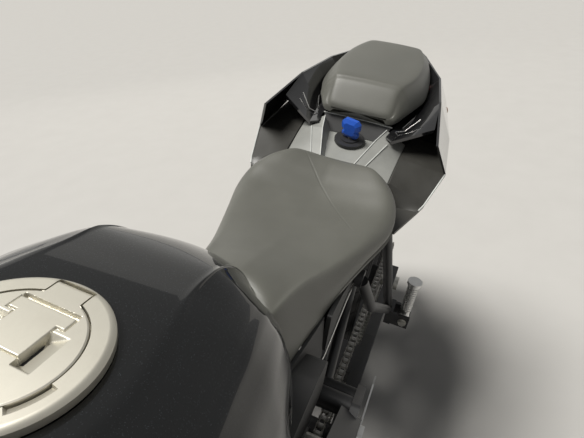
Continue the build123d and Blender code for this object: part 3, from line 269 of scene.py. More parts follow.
def make_cap_metal():
    """Matte bead-blasted alloy, slightly warm."""
    look = Look("cap_alloy", Metallic=1.0)
    fine = look.noise(2600.0, 2.0)
    stain = look.noise(26.0, 5.0, 0.62)
    look.set("Base Color", look.mix(stain.ramp(0.4, 0.75), rgb(0.66, 0.635, 0.555), rgb(0.57, 0.545, 0.475)))
    look.set("Roughness", (stain - 0.5) * 0.16 + 0.50 + (fine - 0.5) * 0.12)
    look.bump(fine, 0.4, 0.00004)
    return look.material


TREAD_PITCH, WALL_RING_PITCH = 62.0, 6.0


def make_tyre(name, centre, radius, width):
    """Road tyre: slanted grooves in the tread with painted shade in them, moulded rings on the wall, and a
    scrubbed tread.
    """
    look = Look(name, Specular_IOR_Level=0.35)
    at = PARK @ centre
    level = look.node("VectorRotate", {"rotation_type": "AXIS_ANGLE"}, look.place(), tuple(at), (1, 0, 0),
                      math.radians(LEAN)).out()
    x, y, z = look.split(level)
    dx, dy, dz = x - at.x, y - at.y, z - at.z
    round_mm = look.node("Math", {"operation": "ARCTAN2"}, dz, dx).out() * radius
    aside = abs(dy) * TO_MM
    reach = ((dx * dx + dz * dz) ** 0.5) * TO_MM
    on_tread = reach.ramp(radius - width * 0.26, radius - width * 0.22)
    middle = TREAD_PITCH / 2
    long_groove = abs((round_mm + aside * 0.9) % TREAD_PITCH - middle) < 3.2
    long_part = (aside > width * 0.07) * (aside < width * 0.42)
    short_groove = abs((round_mm - aside * 0.5 + middle) % TREAD_PITCH - middle) < 2.4
    short_part = (aside > width * 0.20) * (aside < width * 0.47)
    cut = (long_groove * long_part + short_groove * short_part).clamp() * on_tread
    rings = abs(reach % WALL_RING_PITCH - WALL_RING_PITCH / 2) * 0.2 * (1.0 - on_tread)
    grain = look.noise(1800.0, 2.0)
    dust = look.noise(30.0, 4.0)
    worn = look.mix(on_tread * (1.0 - cut), rgb(0.020, 0.020, 0.020), rgb(0.040, 0.039, 0.038))
    # Grooves are coloured darker than plain rubber: painted shade in the grooves.
    look.set("Base Color", look.mix(cut, worn, rgb(0.007, 0.007, 0.007)))
    look.set("Roughness", (dust - 0.5) * 0.15 + 0.78)
    look.bump((1.0 - cut) + grain * 0.06 + rings, 1.0, 0.0022)
    return look.material


def make_lens(name, colour, roughness, weight=1.0):
    """Clear or tinted plastic with a faint ripple and a little dust."""
    look = Look(name, Transmission_Weight=weight, IOR=1.49, Roughness=roughness)
    ripple = look.noise(500.0, 1.0)
    dust = look.noise(40.0, 4.0)
    look.set("Base Color", look.mix(dust.ramp(0.5, 0.9), rgb(*colour), rgb(*(c * 0.8 for c in colour))))
    look.bump(ripple, 0.15, 0.00005)
    return look.material


def make_exhaust():
    """Stainless pipe tinted by heat: straw and blue near the ports, plain further down."""
    look = Look("exhaust_steel", Metallic=1.0)
    height = look.split()[2]
    heat = (height * TO_MM + look.noise(18.0) * 90.0).ramp(230.0, 620.0)
    straw = look.mix(heat, rgb(0.42, 0.37, 0.30), rgb(0.36, 0.24, 0.12))
    look.set("Base Color", look.mix(heat.ramp(0.75, 1.0), straw, rgb(0.14, 0.13, 0.24)))
    look.set("Roughness", look.noise(60.0, 4.0) * 0.2 + 0.2)
    look.bump(look.noise(300.0), 0.1, 0.00003)
    return look.material


vinyl = make_vinyl()
tank_paint = make_tank_paint()
cap_metal = make_cap_metal()
satin_black = painted("satin_black", (0.018, 0.018, 0.019), 0.42)
cast_black = painted("cast_black", (0.020, 0.020, 0.021), 0.52, grain=500.0, relief=0.00012)
cover_grey = painted("cover_grey", (0.060, 0.060, 0.062), 0.40, grain=500.0, relief=0.00008)
wheel_black = painted("wheel_black", (0.013, 0.013, 0.014), 0.34)
gloss_black = plastic("gloss_black", (0.006, 0.006, 0.007), 0.12, grain=300.0, relief=0.00001, coat=1.0)
black_plastic = plastic("black_plastic", (0.020, 0.020, 0.020), 0.55)
tail_grey = plastic("tail_grey", (0.24, 0.243, 0.228), 0.36, relief=0.00003)
tail_dark = plastic("tail_dark", (0.034, 0.033, 0.029), 0.38, relief=0.00003)
# Pale plastic for thin strips along bevelled edges: painted highlights.
painted_edge_highlight = plastic("painted_edge_highlight", (0.50, 0.51, 0.49), 0.30, relief=0.00002)
blue_plastic = plastic("blue_plastic", (0.010, 0.075, 0.42), 0.30, relief=0.00003)
rubber = plastic("rubber", (0.012, 0.012, 0.012), 0.70)
steel = metal("steel", (0.56, 0.55, 0.53), 0.30)
dark_steel = metal("dark_steel", (0.30, 0.29, 0.27), 0.36)
zinc = metal("zinc", (0.60, 0.59, 0.55), 0.32, grain=(300.0, 300.0, 300.0))
chrome = metal("chrome", (0.82, 0.82, 0.82), 0.06, scratch=0.02)
disc_steel = metal("disc_steel", (0.55, 0.55, 0.55), 0.26, grain=(400.0, 400.0, 400.0))
alloy = metal("alloy", (0.70, 0.70, 0.69), 0.34, grain=(500.0, 500.0, 500.0))
brushed = metal("brushed", (0.62, 0.61, 0.59), 0.28, grain=(40.0, 900.0, 900.0))
exhaust_steel = make_exhaust()
amber = make_lens("amber", (0.85, 0.32, 0.03), 0.12, 0.6)
red = make_lens("red", (0.62, 0.015, 0.015), 0.10, 0.5)
clear = make_lens("clear", (0.95, 0.97, 1.0), 0.02)
mirror_glass = metal("mirror_glass", (0.86, 0.87, 0.88), 0.03, scratch=0.01)
plate_white = painted("plate_white", (0.62, 0.62, 0.60), 0.38)
front_tread = make_tyre("front_tread", FRONT_AXLE, 300.0, 120.0)
rear_tread = make_tyre("rear_tread", REAR_AXLE, 315.0, 180.0)

finishes = {
    "front_tyre": front_tread, "rear_tyre": rear_tread, "front_rim": wheel_black, "rear_rim": wheel_black,
    "front_discs": disc_steel, "rear_disc": disc_steel,
    "rear_sprocket": steel, "gearbox_sprocket": dark_steel,
    "chain": dark_steel, "fork_outers": satin_black, "fork_inners": chrome, "fork_feet": cast_black,
    "front_axle": zinc, "rear_axle": zinc, "front_calipers": cast_black, "rear_caliper": cast_black,
    "yokes": cast_black, "handlebar": satin_black, "grips": rubber, "hand_levers": satin_black,
    "mirrors": black_plastic, "front_mudguard": gloss_black, "headlamp": gloss_black, "headlamp_lens": clear,
    "headlamp_stays": satin_black, "dash": black_plastic, "front_indicators": black_plastic,
    "rear_indicators": black_plastic, "frame": satin_black, "swingarm": satin_black, "shock": alloy,
    "shock_spring": alloy, "engine": cast_black, "engine_covers": cover_grey, "fixings": zinc,
    "airbox": black_plastic, "radiator": cast_black, "exhaust_pipes": exhaust_steel, "muffler": brushed,
    "tank": tank_paint, "filler_ring": cap_metal, "filler_lid": cap_metal, "rider_seat": vinyl,
    "pillion_pad": vinyl, "tail_console": tail_grey, "seat_lock": satin_black, "key": blue_plastic,
    "tail_wings": gloss_black, "tail_sides": tail_dark, "side_covers": black_plastic,
    "rear_guard": black_plastic, "tail_lamp": red, "number_plate": plate_white, "rider_rests": alloy,
    "passenger_hangers": satin_black, "passenger_peg_left": alloy, "passenger_peg_right": alloy,
    "side_stand": satin_black,
}
for name, node in frame["nodes"].items():
    node.data.materials.clear()
    node.data.materials.append(finishes[name])


# Shaped pieces: rings across the machine, joined into one skin

def on_side(point, side):
    """A point of the left side where side is 1, and its mirror image where side is -1."""
    return Vector((point[0], point[1] * side, point[2]))


def circle(run, radius, around):
    """Points of a circle about the origin, square to a direction."""
    run = run.normalized()
    side = run.orthogonal().normalized()
    other = run.cross(side)
    angles = [2 * math.pi * k / around for k in range(around)]
    return [(side * math.cos(a) + other * math.sin(a)) * radius for a in angles]


def through(points, steps):
    """A smooth line through points of any length, steps parts to each span."""
    ends = [points[0], *points, points[-1]]
    line = []
    for before, start, end, after in zip(ends, ends[1:], ends[2:], ends[3:]):
        for k in range(steps):
            t = k / steps
            line.append(tuple(0.5 * (2 * b + (c - a) * t + (2 * a - 5 * b + 4 * c - d) * t * t
                                     + (3 * b - a - 3 * c + d) * t ** 3)
                              for a, b, c, d in zip(before, start, end, after)))
    line.append(tuple(points[-1]))
    return line


def make_mesh(name, verts, faces, material, place=PARK, crease=40.0, body="chassis", work=None):
    """A mesh from points in the given frame. Edges sharper than crease degrees stay crisp, and work may
    change the mesh first, while it is still in its own frame."""
    mesh = bpy.data.meshes.new(name)
    bm = bmesh.new()
    points = [bm.verts.new(v) for v in verts]
    for face in faces:
        bm.faces.new([points[k] for k in face])
    if work:
        work(bm)
    bmesh.ops.remove_doubles(bm, verts=bm.verts, dist=0.002)
    bmesh.ops.recalc_face_normals(bm, faces=bm.faces)
    for face in bm.faces:
        face.smooth = True
    for edge in bm.edges:
        edge.smooth = not (len(edge.link_faces) == 2 and edge.calc_face_angle(0.0) > math.radians(crease))
    bmesh.ops.transform(bm, matrix=place, verts=bm.verts)
    bm.to_mesh(mesh)
    bm.free()
    mesh.materials.append(material)
    obj = bpy.data.objects.new(name, mesh)
    bpy.context.scene.collection.objects.link(obj)
    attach(obj, body)
    return obj


def skin_rings(name, rings, material, **options):
    """A closed skin over rings that have as many points each, its two ends drawn in to a point."""
    count = len(rings[0])
    verts = [p for ring in rings for p in ring]
    faces = [(first + k, first + (k + 1) % count, first + count + (k + 1) % count, first + count + k)
             for first in range(0, count * (len(rings) - 1), count) for k in range(count)]
    for ring, first in ((rings[0], 0), (rings[-1], (len(rings) - 1) * count)):
        verts.append(tuple(sum(p[axis] for p in ring) / count for axis in range(3)))
        faces += [(first + k, first + (k + 1) % count, len(verts) - 1) for k in range(count)]
    return make_mesh(name, verts, faces, material, **options)


# Tank: a flat top for the filler with a narrow chamfer beside it, and two soft creases down the flanks

TURN_PARTS, RUN_PARTS = 4, 4


def rounded(corners, bulge):
    """A line past corners (y, z, radius), each rounded by a short curve, with bowed runs between them."""
    turns = [[Vector(corners[0][:2])]]
    for (y0, z0, _), (y, z, radius), (y1, z1, _) in zip(corners, corners[1:], corners[2:]):
        at, back, ahead = Vector((y, z)), Vector((y0 - y, z0 - z)), Vector((y1 - y, z1 - z))
        start = at + back.normalized() * min(radius, back.length * 0.45)
        end = at + ahead.normalized() * min(radius, ahead.length * 0.45)
        shares = [k / TURN_PARTS for k in range(TURN_PARTS + 1)]
        turns.append([start * (1 - t) ** 2 + at * 2 * t * (1 - t) + end * t * t for t in shares])
    turns.append([Vector(corners[-1][:2])])
    line = []
    for bend, following in zip(turns, turns[1:]):
        line += bend
        start, run = bend[-1], following[0] - bend[-1]
        out = Vector((run.y, -run.x)) * (bulge / max(run.length, 1.0))
        shares = [k / RUN_PARTS for k in range(1, RUN_PARTS)]
        line += [start + run * t + out * (4 * t * (1 - t)) for t in shares]
    return line + turns[-1]


def across(x, half):
    """A whole ring at x from its left half, which starts at the bottom and ends at the top."""
    return [(x, y, z) for y, z in half] + [(x, -y, z) for y, z in reversed(half[1:-1])]


CAP = Matrix.Translation((230, 0, 1004)) @ Matrix.Rotation(math.radians(-4.5), 4, "Y")
RING_R, RING_FLAT_R, RING_LOW = 49.2, 45.6, -6.7
LID_R, LID_MAP_R, LID_LOW = 36.5, 35.4, -5.0
HINGE_AT, TAB_HALF, TAB_FROM, TAB_LOW = 42.5, 11.5, -34.0, -2.6
LID_GAP, TAB_ROOM, RECESS_FLOOR = 1.0, 2.5, -5.7
PLUG_R, PLUG_LOW, KNUCKLE_R = 17.0, -17.3, 2.5
NECK_R, NECK_LOW, NECK_SIDES = 24.0, -60.0, 48
HOLE_R, HOLE_REACH = 36.0, 14.0

# Where the tank's sides start to be drawn in, over what length, by how much, and how far out in full
TAIL_FROM, TAIL_SPAN, DRAWN_IN, DRAWN_HALF = 120, 80, 26, 58
LAND_PARTS = 14

tank_rows = [
    # x, floor z, half; waist z, half; hip z, half; crease z, half; chamfer width, top z, half
    (310, 852, 60, 905, 84, 946, 78, 958, 66, 3, 966, 44),
    (307, 848, 74, 904, 100, 954, 92, 972, 76, 8, 985, 46),
    (298, 840, 88, 902, 114, 960, 102, 980, 82, 10, 998.5, 44),
    (280, 832, 96, 899, 128, 962, 109, 982, 87, 12, 1000.3, 46),
    (230, 818, 104, 895, 148, 962, 118, 980, 93, 12, 996.6, 59),
    (178, 808, 108, 889, 141, 955, 111, 975.5, 88, 11, 992.5, 51.5),
    (150, 802, 104, 884, 129, 951, 107, 973, 83, 6, 989, 47),
    (120, 796, 98, 878, 117, 942, 100, 965, 77, 3.5, 982.5, 47),
    (92, 791, 92, 872, 106, 928, 93, 949, 72, 3, 968, 46),
    (66, 788, 87, 865, 94, 909, 85.5, 926, 67, 3, 945, 44.5),
    (44, 786, 78, 850, 80.5, 884, 73, 899, 60, 3, 916, 43),
    (24, 788, 63, 832, 64.5, 858, 59, 869, 51, 3, 884, 40),
    (8, 796, 47, 820, 48, 836, 45, 843, 40, 3, 852, 34),
]


def held(value, low=0.0, high=1.0):
    """The value, kept between low and high."""
    return max(low, min(high, value))


def tank_ring(row):
    """A ring across the tank. Near the tail its sides end further forward than its middle."""
    x, floor_z, floor, waist_z, waist, hip_z, hip, crease_z, crease, chamfer, top_z, top = row
    flank = rounded([(0, floor_z, 0), (floor, floor_z, 10), (waist, waist_z, 34), (hip, hip_z, 16),
                     (crease, crease_z, 5), (top + chamfer, top_z - chamfer * 0.36, 1.6),
                     (top, top_z, 1.6)], 1.2)
    lid_land = [Vector((top * (1 - k / LAND_PARTS), top_z)) for k in range(1, LAND_PARTS + 1)]
    drawn_in = held((TAIL_FROM - x) / TAIL_SPAN) * DRAWN_IN
    return [(ahead + drawn_in * min(1.0, abs(y) / DRAWN_HALF) ** 2, y, z)
            for ahead, y, z in across(x, [(p.x, p.y) for p in flank + lid_land])]


def open_neck(bm):
    """Cuts the filler's hole in the top and leads it down into a short closed neck."""
    into_cap = CAP.inverted()

    def in_hole(point):
        local = into_cap @ point
        return abs(local.z) < HOLE_REACH and math.hypot(local.x, local.y) < HOLE_R

    lost = [face for face in bm.faces if in_hole(face.calc_center_median())]
    bmesh.ops.delete(bm, geom=lost, context="FACES")
    rim = [edge for edge in bm.edges if len(edge.link_faces) == 1]
    angles = [2 * math.pi * k / NECK_SIDES for k in range(NECK_SIDES)]
    upper, lower = ([bm.verts.new(CAP @ Vector((NECK_R * math.cos(a), NECK_R * math.sin(a), height)))
                     for a in angles] for height in (RING_LOW - 0.4, NECK_LOW))
    for k in range(NECK_SIDES):
        bm.faces.new([upper[k], upper[k - 1], lower[k - 1], lower[k]])
    bm.faces.new(lower)
    neck_rim = [bm.edges.get((upper[k], upper[k - 1])) for k in range(NECK_SIDES)]
    bmesh.ops.bridge_loops(bm, edges=rim + neck_rim)


tank = skin_rings("tank_skin", [tank_ring(row) for row in through(tank_rows, 8)], tank_paint, work=open_neck)
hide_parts("tank")


# Filler cap: lid and ring are height maps over their round outlines, in which u runs forward and v left

# Rectangles as u from, u to, v from, v to. The slot is the left one of two
FLAP = (-22.0, 3.5, -13.0, 13.5)
CROSS_BAR = (-26.5, -17.5, -18.5, 18.5)
SLOT = (-11.0, 4.0, 13.4, 16.2)
GROOVE = (-29.0, -26.2, -18.5, 18.5)
SLOT_DEEP, LINE_DEEP, GROOVE_DEEP, RIM_DEEP, FLAP_HIGH = 3.0, 1.3, 2.6, 0.6, 0.35
SOFT_EDGE, LINE_HALF, RIM_WIDE = 0.5, 0.6, 0.8
WELL_BACK, WELL_FRONT, WELL_HALF, WELL_DEPTH = -15.0, 8.0, 25.0, 4.6
# The blank panel's ends in degrees and its outer radius
PANEL_FROM, PANEL_TO, PANEL_R = 51.0, 79.0, 41.8
ARC_PER_DEGREE = 0.0175
MAP_SIDES = 400


def lid_edge(grown, behind=0.0):
    """The lid's outline by angle: round, with a square tab behind for the hinge. Grown makes it larger all
    round and behind adds room behind the tab."""
    def reach(angle):
        along, aside = -math.cos(angle), abs(math.sin(angle))
        if along <= 0:
            return LID_R + grown
        to_back = (HINGE_AT + grown + behind) / along
        to_side = (TAB_HALF + grown) / aside if aside > 1e-6 else 1e6
        return max(LID_R + grown, min(to_back, to_side))
    return reach


def inside(u, v, u0, u1, v0, v1):
    """How deep a point lies inside a rectangle; negative outside."""
    return min(u - u0, u1 - u, v - v0, v1 - v)


def lid_top(u, v):
    """The lid's top: a raised lock flap with a cross bar and a groove behind it, and on each side a sloped
    finger well with a slot beside the flap."""
    flap = max(inside(u, v, *FLAP), inside(u, v, *CROSS_BAR))
    well = min((WELL_HALF - abs(v)) * 0.42, (u - WELL_BACK) * 1.4, (WELL_FRONT - u) * 1.4, WELL_DEPTH)
    if flap < 0 and abs(v) > FLAP[3] and well > 0:
        return -well - held(inside(u, abs(v), *SLOT) / SOFT_EDGE) * SLOT_DEEP
    line = held(1.0 - abs(flap) / LINE_HALF) * LINE_DEEP
    groove = held(inside(u, v, *GROOVE) / SOFT_EDGE) * GROOVE_DEEP
    rim = held(math.hypot(u, v) - LID_R + RIM_WIDE) * RIM_DEEP if u > TAB_FROM else 0.0
    return FLAP_HIGH * held(flap) - max(line, groove) - rim


def ring_top(u, v):
    """The ring's top: a bevel round its rim and a blank panel on the left, sunk deeper towards the lid."""
    reach, angle = math.hypot(u, v), math.degrees(math.atan2(v, u))
    bevel = held(reach - RING_FLAT_R, 0.0, 5.0) ** 2 * 0.17
    from_ends = min(angle - PANEL_FROM, PANEL_TO - angle) * reach * ARC_PER_DEGREE
    sunk = held(min(from_ends, PANEL_R - reach) / 0.4) * (0.6 + held(PANEL_R - reach, 0.0, 5.0) * 0.4)
    return -bevel - sunk


def round_map(name, start_r, zones, low, body):
    """A closed piece of the cap over a round outline. Its zones follow outwards from start_r, each with its
    edge by angle, its number of rings and its top's height at (u, v). Low is its underside's height."""
    verts, faces = [], []
    for k in range(MAP_SIDES):
        angle = 2 * math.pi * k / MAP_SIDES
        facing, reach = Vector((math.cos(angle), math.sin(angle))), start_r
        for edge, rings, top in zones:
            end = edge(angle)
            spots = [facing * (reach + (end - reach) * j / rings) for j in range(rings + 1)]
            verts += [(p.x, p.y, top(p.x, p.y)) for p in spots]
            reach = end
        verts += [(facing.x * reach, facing.y * reach, low(facing.x * reach, facing.y * reach)),
                  (facing.x * start_r, facing.y * start_r, low(0, 0))]
    columns = len(verts) // MAP_SIDES
    for k in range(MAP_SIDES):
        here, there = k * columns, (k + 1) % MAP_SIDES * columns
        faces += [(here + j, there + j, there + (j + 1) % columns, here + (j + 1) % columns)
                  for j in range(columns)]
    return make_mesh(name, verts, faces, cap_metal, place=CAP_PLACE, body=body, crease=28.0)


def drum(name, radius, start, end, material, place=PARK, body="chassis", bevel=0.0):
    """A round bar from start to end, its ends bevelled where a bevel is given."""
    start, end = Vector(start), Vector(end)
    run = (end - start).normalized()
    stops = [(start + run * bevel, radius), (end - run * bevel, radius)]
    if bevel:
        stops = [(start, radius - bevel), *stops, (end, radius - bevel)]
    rings = [[tuple(at + p) for p in circle(run, r, 48)] for at, r in stops]
    return skin_rings(name, rings, material, place=place, body=body)


def lid_low(u, v):
    """The lid's underside, which is higher under its tab."""
    return LID_LOW if math.hypot(u, v) < LID_R + 0.1 else TAB_LOW


CAP_PLACE = PARK @ CAP
lid_zones = [(lambda angle: LID_MAP_R, 126, lid_top), (lid_edge(0.0), 8, lid_top)]
lid = round_map("lid_skin", 0.0, lid_zones, lid_low, "filler_lid")
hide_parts("filler_lid")
drum("lid_plug", PLUG_R, (0, 0, LID_LOW + 0.1), (0, 0, PLUG_LOW), satin_black, CAP_PLACE, "filler_lid")
drum("lid_knuckle", KNUCKLE_R, (-HINGE_AT, -TAB_HALF, TAB_LOW), (-HINGE_AT, TAB_HALF, TAB_LOW), cap_metal,
     CAP_PLACE, "filler_lid")
ring_zones = [(lid_edge(LID_GAP, TAB_ROOM), 6, lambda u, v: RECESS_FLOOR),
              (lambda angle: RING_R, 60, ring_top)]
ring = round_map("ring_skin", NECK_R, ring_zones, lambda u, v: RING_LOW, "chassis")
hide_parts("filler_ring")


# Rider's seat and passenger's pad

NOSE_HALF = 52.0


def cushion_ring(row):
    """From a row of sizes to a ring: a flat base, a sewn seam low on the flank, a soft roll and a crowned
    top. The nose wraps round the tank's tail: its sides reach further forward than its middle."""
    x, wrap, base_z, base, seam_z, seam, roll_z, roll, middle_z = row
    half = through([(0, base_z), (base * 0.85, base_z), (base, base_z + 4), (seam * 0.985, seam_z - 6),
                    (seam, seam_z - 1), (seam - 2.2, seam_z + 0.8), (seam - 0.5, seam_z + 3),
                    (seam * 0.55 + roll * 0.5, seam_z * 0.5 + roll_z * 0.5), (roll * 1.02, roll_z - 3.5),
                    (roll * 0.86, roll_z + 0.5), (roll * 0.45, middle_z * 0.6 + roll_z * 0.4),
                    (0, middle_z)], 5)
    line = [(x + wrap * min(1.0, y / NOSE_HALF) ** 2, y, z) for y, z in half]
    return line + [(ahead, -y, z) for ahead, y, z in reversed(line[1:-1])]


rider_rows = [
    # x, wrap, base z, base half, seam z, seam half, roll z, roll half, middle z
    (3, 40, 772, 62, 790, 69, 832, 50, 843),
    (0, 40, 767, 69, 787, 75, 844, 53, 851),
    (-16, 33, 766, 72, 785, 78, 851, 57, 857),
    (-45, 19, 766, 74, 783, 82, 843, 61, 851),
    (-70, 9, 766, 75, 782, 87, 835, 67, 842),
    (-110, 0, 764, 77, 782, 94, 822, 80, 829),
    (-180, 0, 758, 84, 782, 109, 817, 102, 815),
    (-245, 0, 760, 88, 791, 127, 820, 116, 814),
    (-285, 0, 764, 88, 804, 124, 834, 113, 823),
    (-314, 0, 774, 84, 816, 112, 845, 97, 834),
    (-336, 0, 788, 74, 826, 92, 850, 77, 842),
    (-348, 0, 800, 62, 830, 76, 846, 62, 844),
    (-354, 0, 814, 44, 834, 57, 842, 44, 842),
]
rider_seat = skin_rings("rider_seat_cover", [cushion_ring(row) for row in through(rider_rows, 6)], vinyl)
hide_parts("rider_seat")


def pad_ring(row):
    """A moulded pad: flat top facet, a firm crease, sloped sides and an undercut base."""
    x, base_z, base, side_z, side, edge_z, edge = row
    half = through([(0, base_z), (base * 0.85, base_z), (base, base_z + 4), (side * 0.97, side_z - 8),
                    (side, side_z), (side * 0.62 + edge * 0.38, side_z * 0.5 + edge_z * 0.5),
                    (edge + 4, edge_z - 5), (edge - 5, edge_z + 1), (edge * 0.5, edge_z + 2.5),
                    (0, edge_z + 3)], 5)
    return across(x, half)


pillion_rows = [
    # x, base z, base half, side z, side half, edge z, edge half
    (-472, 879, 48, 884, 56, 889, 48),
    (-477, 873, 60, 886, 70, 897, 58),
    (-498, 869, 69, 894, 82, 924, 60),
    (-508, 869, 71, 897, 87, 932, 62),
    (-522, 870, 74, 899, 91, 937, 66),
    (-578, 872, 83, 905, 104, 942, 78),
    (-660, 886, 78, 920, 98, 950, 78),
    (-728, 903, 60, 934, 82, 957, 62),
    (-750, 911, 50, 939, 69, 955, 52),
    (-760, 921, 34, 940, 48, 949, 36),
]
pillion_pad = skin_rings("pillion_pad_cover", [pad_ring(row) for row in through(pillion_rows, 6)], vinyl)
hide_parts("pillion_pad")


# Chain: plates, pins and rollers round both sprockets, as near to the real pitch as whole links allow

class Pieces:
    """Many small closed shapes gathered into one mesh."""

    def __init__(self):
        self.verts, self.faces = [], []

    def prism(self, outline, start, end):
        """An outline (points in space) pushed from start to end, closed at both ends."""
        count, first = len(outline), len(self.verts)
        last = first + count
        self.verts += [tuple(Vector(p) + start) for p in outline] + [tuple(Vector(p) + end) for p in outline]
        self.faces += [(first + k, first + (k + 1) % count, last + (k + 1) % count, last + k)
                       for k in range(count)]
        self.faces += [tuple(range(first, last)), tuple(range(last, last + count))]

    def round_bar(self, start, end, radius, around):
        start, end = Vector(start), Vector(end)
        self.prism(circle(end - start, radius, around), start, end)

    def hex_bolt(self, at, out, size, tall):
        """A bolt head on a face: a thin washer, a hexagon and a small raised centre."""
        at, out = Vector(at), Vector(out).normalized()
        self.round_bar(at, at + out * tall * 0.22, size * 0.66, 20)
        self.round_bar(at + out * tall * 0.2, at + out * tall, size * 0.56, 6)
        self.round_bar(at + out * tall, at + out * tall * 1.12, size * 0.3, 12)

    def socket_bolt(self, at, out, size, tall):
        """A round cap head with its hexagon hole shown as a small step."""
        at, out = Vector(at), Vector(out).normalized()
        self.round_bar(at, at + out * tall * 0.85, size * 0.5, 20)
        self.round_bar(at + out * tall * 0.85, at + out * tall, size * 0.43, 20)
        self.round_bar(at + out * tall, at + out * tall * 1.02, size * 0.24, 6)

    def make(self, name, material, place=PARK, body="chassis"):
        return make_mesh(name, self.verts, self.faces, material, place=place, body=body, crease=30.0)


CHAIN_PITCH, CHAIN_Y = 15.875, 107.0
REAR_TEETH, OUTPUT_TEETH = 42, 16
OUTPUT = Vector((-75, 0, 395))
PLATE_R, WAIST_R, PIN_R, ROLLER_R = 7.1, 5.2, 2.6, 5.08
# From and to, outwards from the chain's middle
OUTER_PLATE, INNER_PLATE, PIN, ROLLER = (6.1, 7.7), (4.3, 5.9), (4.3, 8.9), (-4.2, 4.2)


def chain_line():
    """The chain's pitch line as evenly spaced points round the two sprockets."""
    big_r, small_r = (CHAIN_PITCH / (2 * math.sin(math.pi / teeth)) for teeth in (REAR_TEETH, OUTPUT_TEETH))
    span = OUTPUT - REAR_AXLE
    along = span.normalized()
    lean = (big_r - small_r) / span.length
    facing = math.atan2(along.z, along.x)
    open_angle = math.acos(lean)
    straight = math.sqrt(span.length ** 2 - (big_r - small_r) ** 2)
    top, low = facing + open_angle, facing - open_angle

    def rim(centre, radius, angle):
        return Vector((centre.x + radius * math.cos(angle), CHAIN_Y, centre.z + radius * math.sin(angle)))

    small_arc, big_arc = small_r * 2 * open_angle, big_r * (2 * math.pi - 2 * open_angle)
    length = 2 * straight + small_arc + big_arc
    count = round(length / CHAIN_PITCH / 2) * 2
    spots = []
    for k in range(count):
        s = length * k / count
        if s < straight:
            spots.append(rim(REAR_AXLE, big_r, top).lerp(rim(OUTPUT, small_r, top), s / straight))
        elif s < straight + small_arc:
            spots.append(rim(OUTPUT, small_r, top - (s - straight) / small_r))
        elif s < 2 * straight + small_arc:
            t = (s - straight - small_arc) / straight
            spots.append(rim(OUTPUT, small_r, low).lerp(rim(REAR_AXLE, big_r, low), t))
        else:
            spots.append(rim(REAR_AXLE, big_r, low - (s - 2 * straight - small_arc) / big_r))
    return spots


def link_plate(start, end):
    """A link's side plate: round ends and a waist."""
    run = (end - start).normalized()
    up = Vector((-run.z, 0, run.x))
    angles = [math.radians(k * 25 - 75) for k in range(7)]
    bend = [(run * math.cos(a) + up * math.sin(a)) * PLATE_R for a in angles]
    middle, waist = (start + end) / 2, up * WAIST_R
    return [*(end + p for p in bend), middle + waist, *(start - p for p in bend), middle - waist]


def make_chain():
    """Plates on both sides of the rollers, and pins that start at the plates and not between them."""
    spots = chain_line()
    plates, rollers = Pieces(), Pieces()
    for k, start in enumerate(spots):
        outline = link_plate(start, spots[(k + 1) % len(spots)])
        near, far = OUTER_PLATE if k % 2 else INNER_PLATE
        for side in SIDES:
            out = Vector((0, side, 0))
            plates.prism(outline, out * near, out * far)
            plates.round_bar(start + out * PIN[0], start + out * PIN[1], PIN_R, 10)
        out = Vector((0, 1, 0))
        rollers.round_bar(start + out * ROLLER[0], start + out * ROLLER[1], ROLLER_R, 14)
    chain = plates.make("chain_plates", dark_steel)
    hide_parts("chain")
    rollers.make("chain_rollers", steel)


make_chain()


# Passenger rests, folded up as parked

PEG_PIVOT = Vector((-388, 190, 520))
PEG_LENGTH, PEG_R, PEG_PIN_HALF = 96.0, 11.0, 20.0
EYE_R, EYE_HALF, PEG_NECK_R, PEG_END_FROM = 10.5, 12.0, 8.0, 88.5
RIBS, RIBS_FROM, RIB_PITCH, RIB_WIDE, RIB_HIGH, OVERLAP = 13, 20.0, 5.3, 3.2, 2.2, 0.2


def make_peg(name, side, node):
    """A folding rest: an eye on the pin, a neck, a ribbed bar and a wider end."""
    pivot = on_side(PEG_PIVOT, side)
    bars = Pieces()

    def upward(low, high, radius, around):
        bars.round_bar(pivot + Vector((0, 0, low)), pivot + Vector((0, 0, high)), radius, around)

    bars.round_bar(pivot - Vector((EYE_HALF, 0, 0)), pivot + Vector((EYE_HALF, 0, 0)), EYE_R, 28)
    upward(6, RIBS_FROM, PEG_NECK_R, 24)
    for k in range(RIBS):
        low = RIBS_FROM + k * RIB_PITCH
        upward(low, low + RIB_WIDE, PEG_R, 24)
        upward(low + RIB_WIDE - OVERLAP, low + RIB_PITCH + OVERLAP, PEG_R - RIB_HIGH, 24)
    upward(PEG_END_FROM, PEG_LENGTH, PEG_R + 3, 28)
    peg = bars.make(name + "_bar", alloy, body=node)
    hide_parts(node)


make_peg("left_rest", 1, "passenger_peg_left")
make_peg("right_rest", -1, "passenger_peg_right")
pin_heads = Pieces()
for side in SIDES:
    for end in (1, -1):
        at = on_side(PEG_PIVOT + Vector((end * PEG_PIN_HALF, 0, 0)), side)
        pin_heads.hex_bolt(at, (end, 0, 0), 13.0, 5.0)
pin_heads.make("rest_pin_heads", zinc)


# Tail: inner linings of the air tunnels and a wall under the passenger pad's lip, dark as painted shade, thin
# pale strips as painted highlights, and the key

def panels(name, rows, back, material, sides=SIDES):
    """Thin panels on the given sides: rows list (x, y, z) of one edge and of the other, and back is the way
    from the front face to the rear face."""
    shells = Pieces()
    for side in sides:
        first = len(shells.verts)
        for row in rows:
            near, far = Vector(row[:3]), Vector(row[3:])
            corners = (near, far, far + Vector(back), near + Vector(back))
            shells.verts += [tuple(on_side(corner, side)) for corner in corners]
        last = first + 4 * (len(rows) - 1)
        shells.faces += [(first, first + 1, first + 2, first + 3), (last, last + 1, last + 2, last + 3)]
        shells.faces += [(a + k, a + (k + 1) % 4, a + 4 + (k + 1) % 4, a + 4 + k)
                         for a in range(first, last, 4) for k in range(4)]
    return shells.make(name, material)


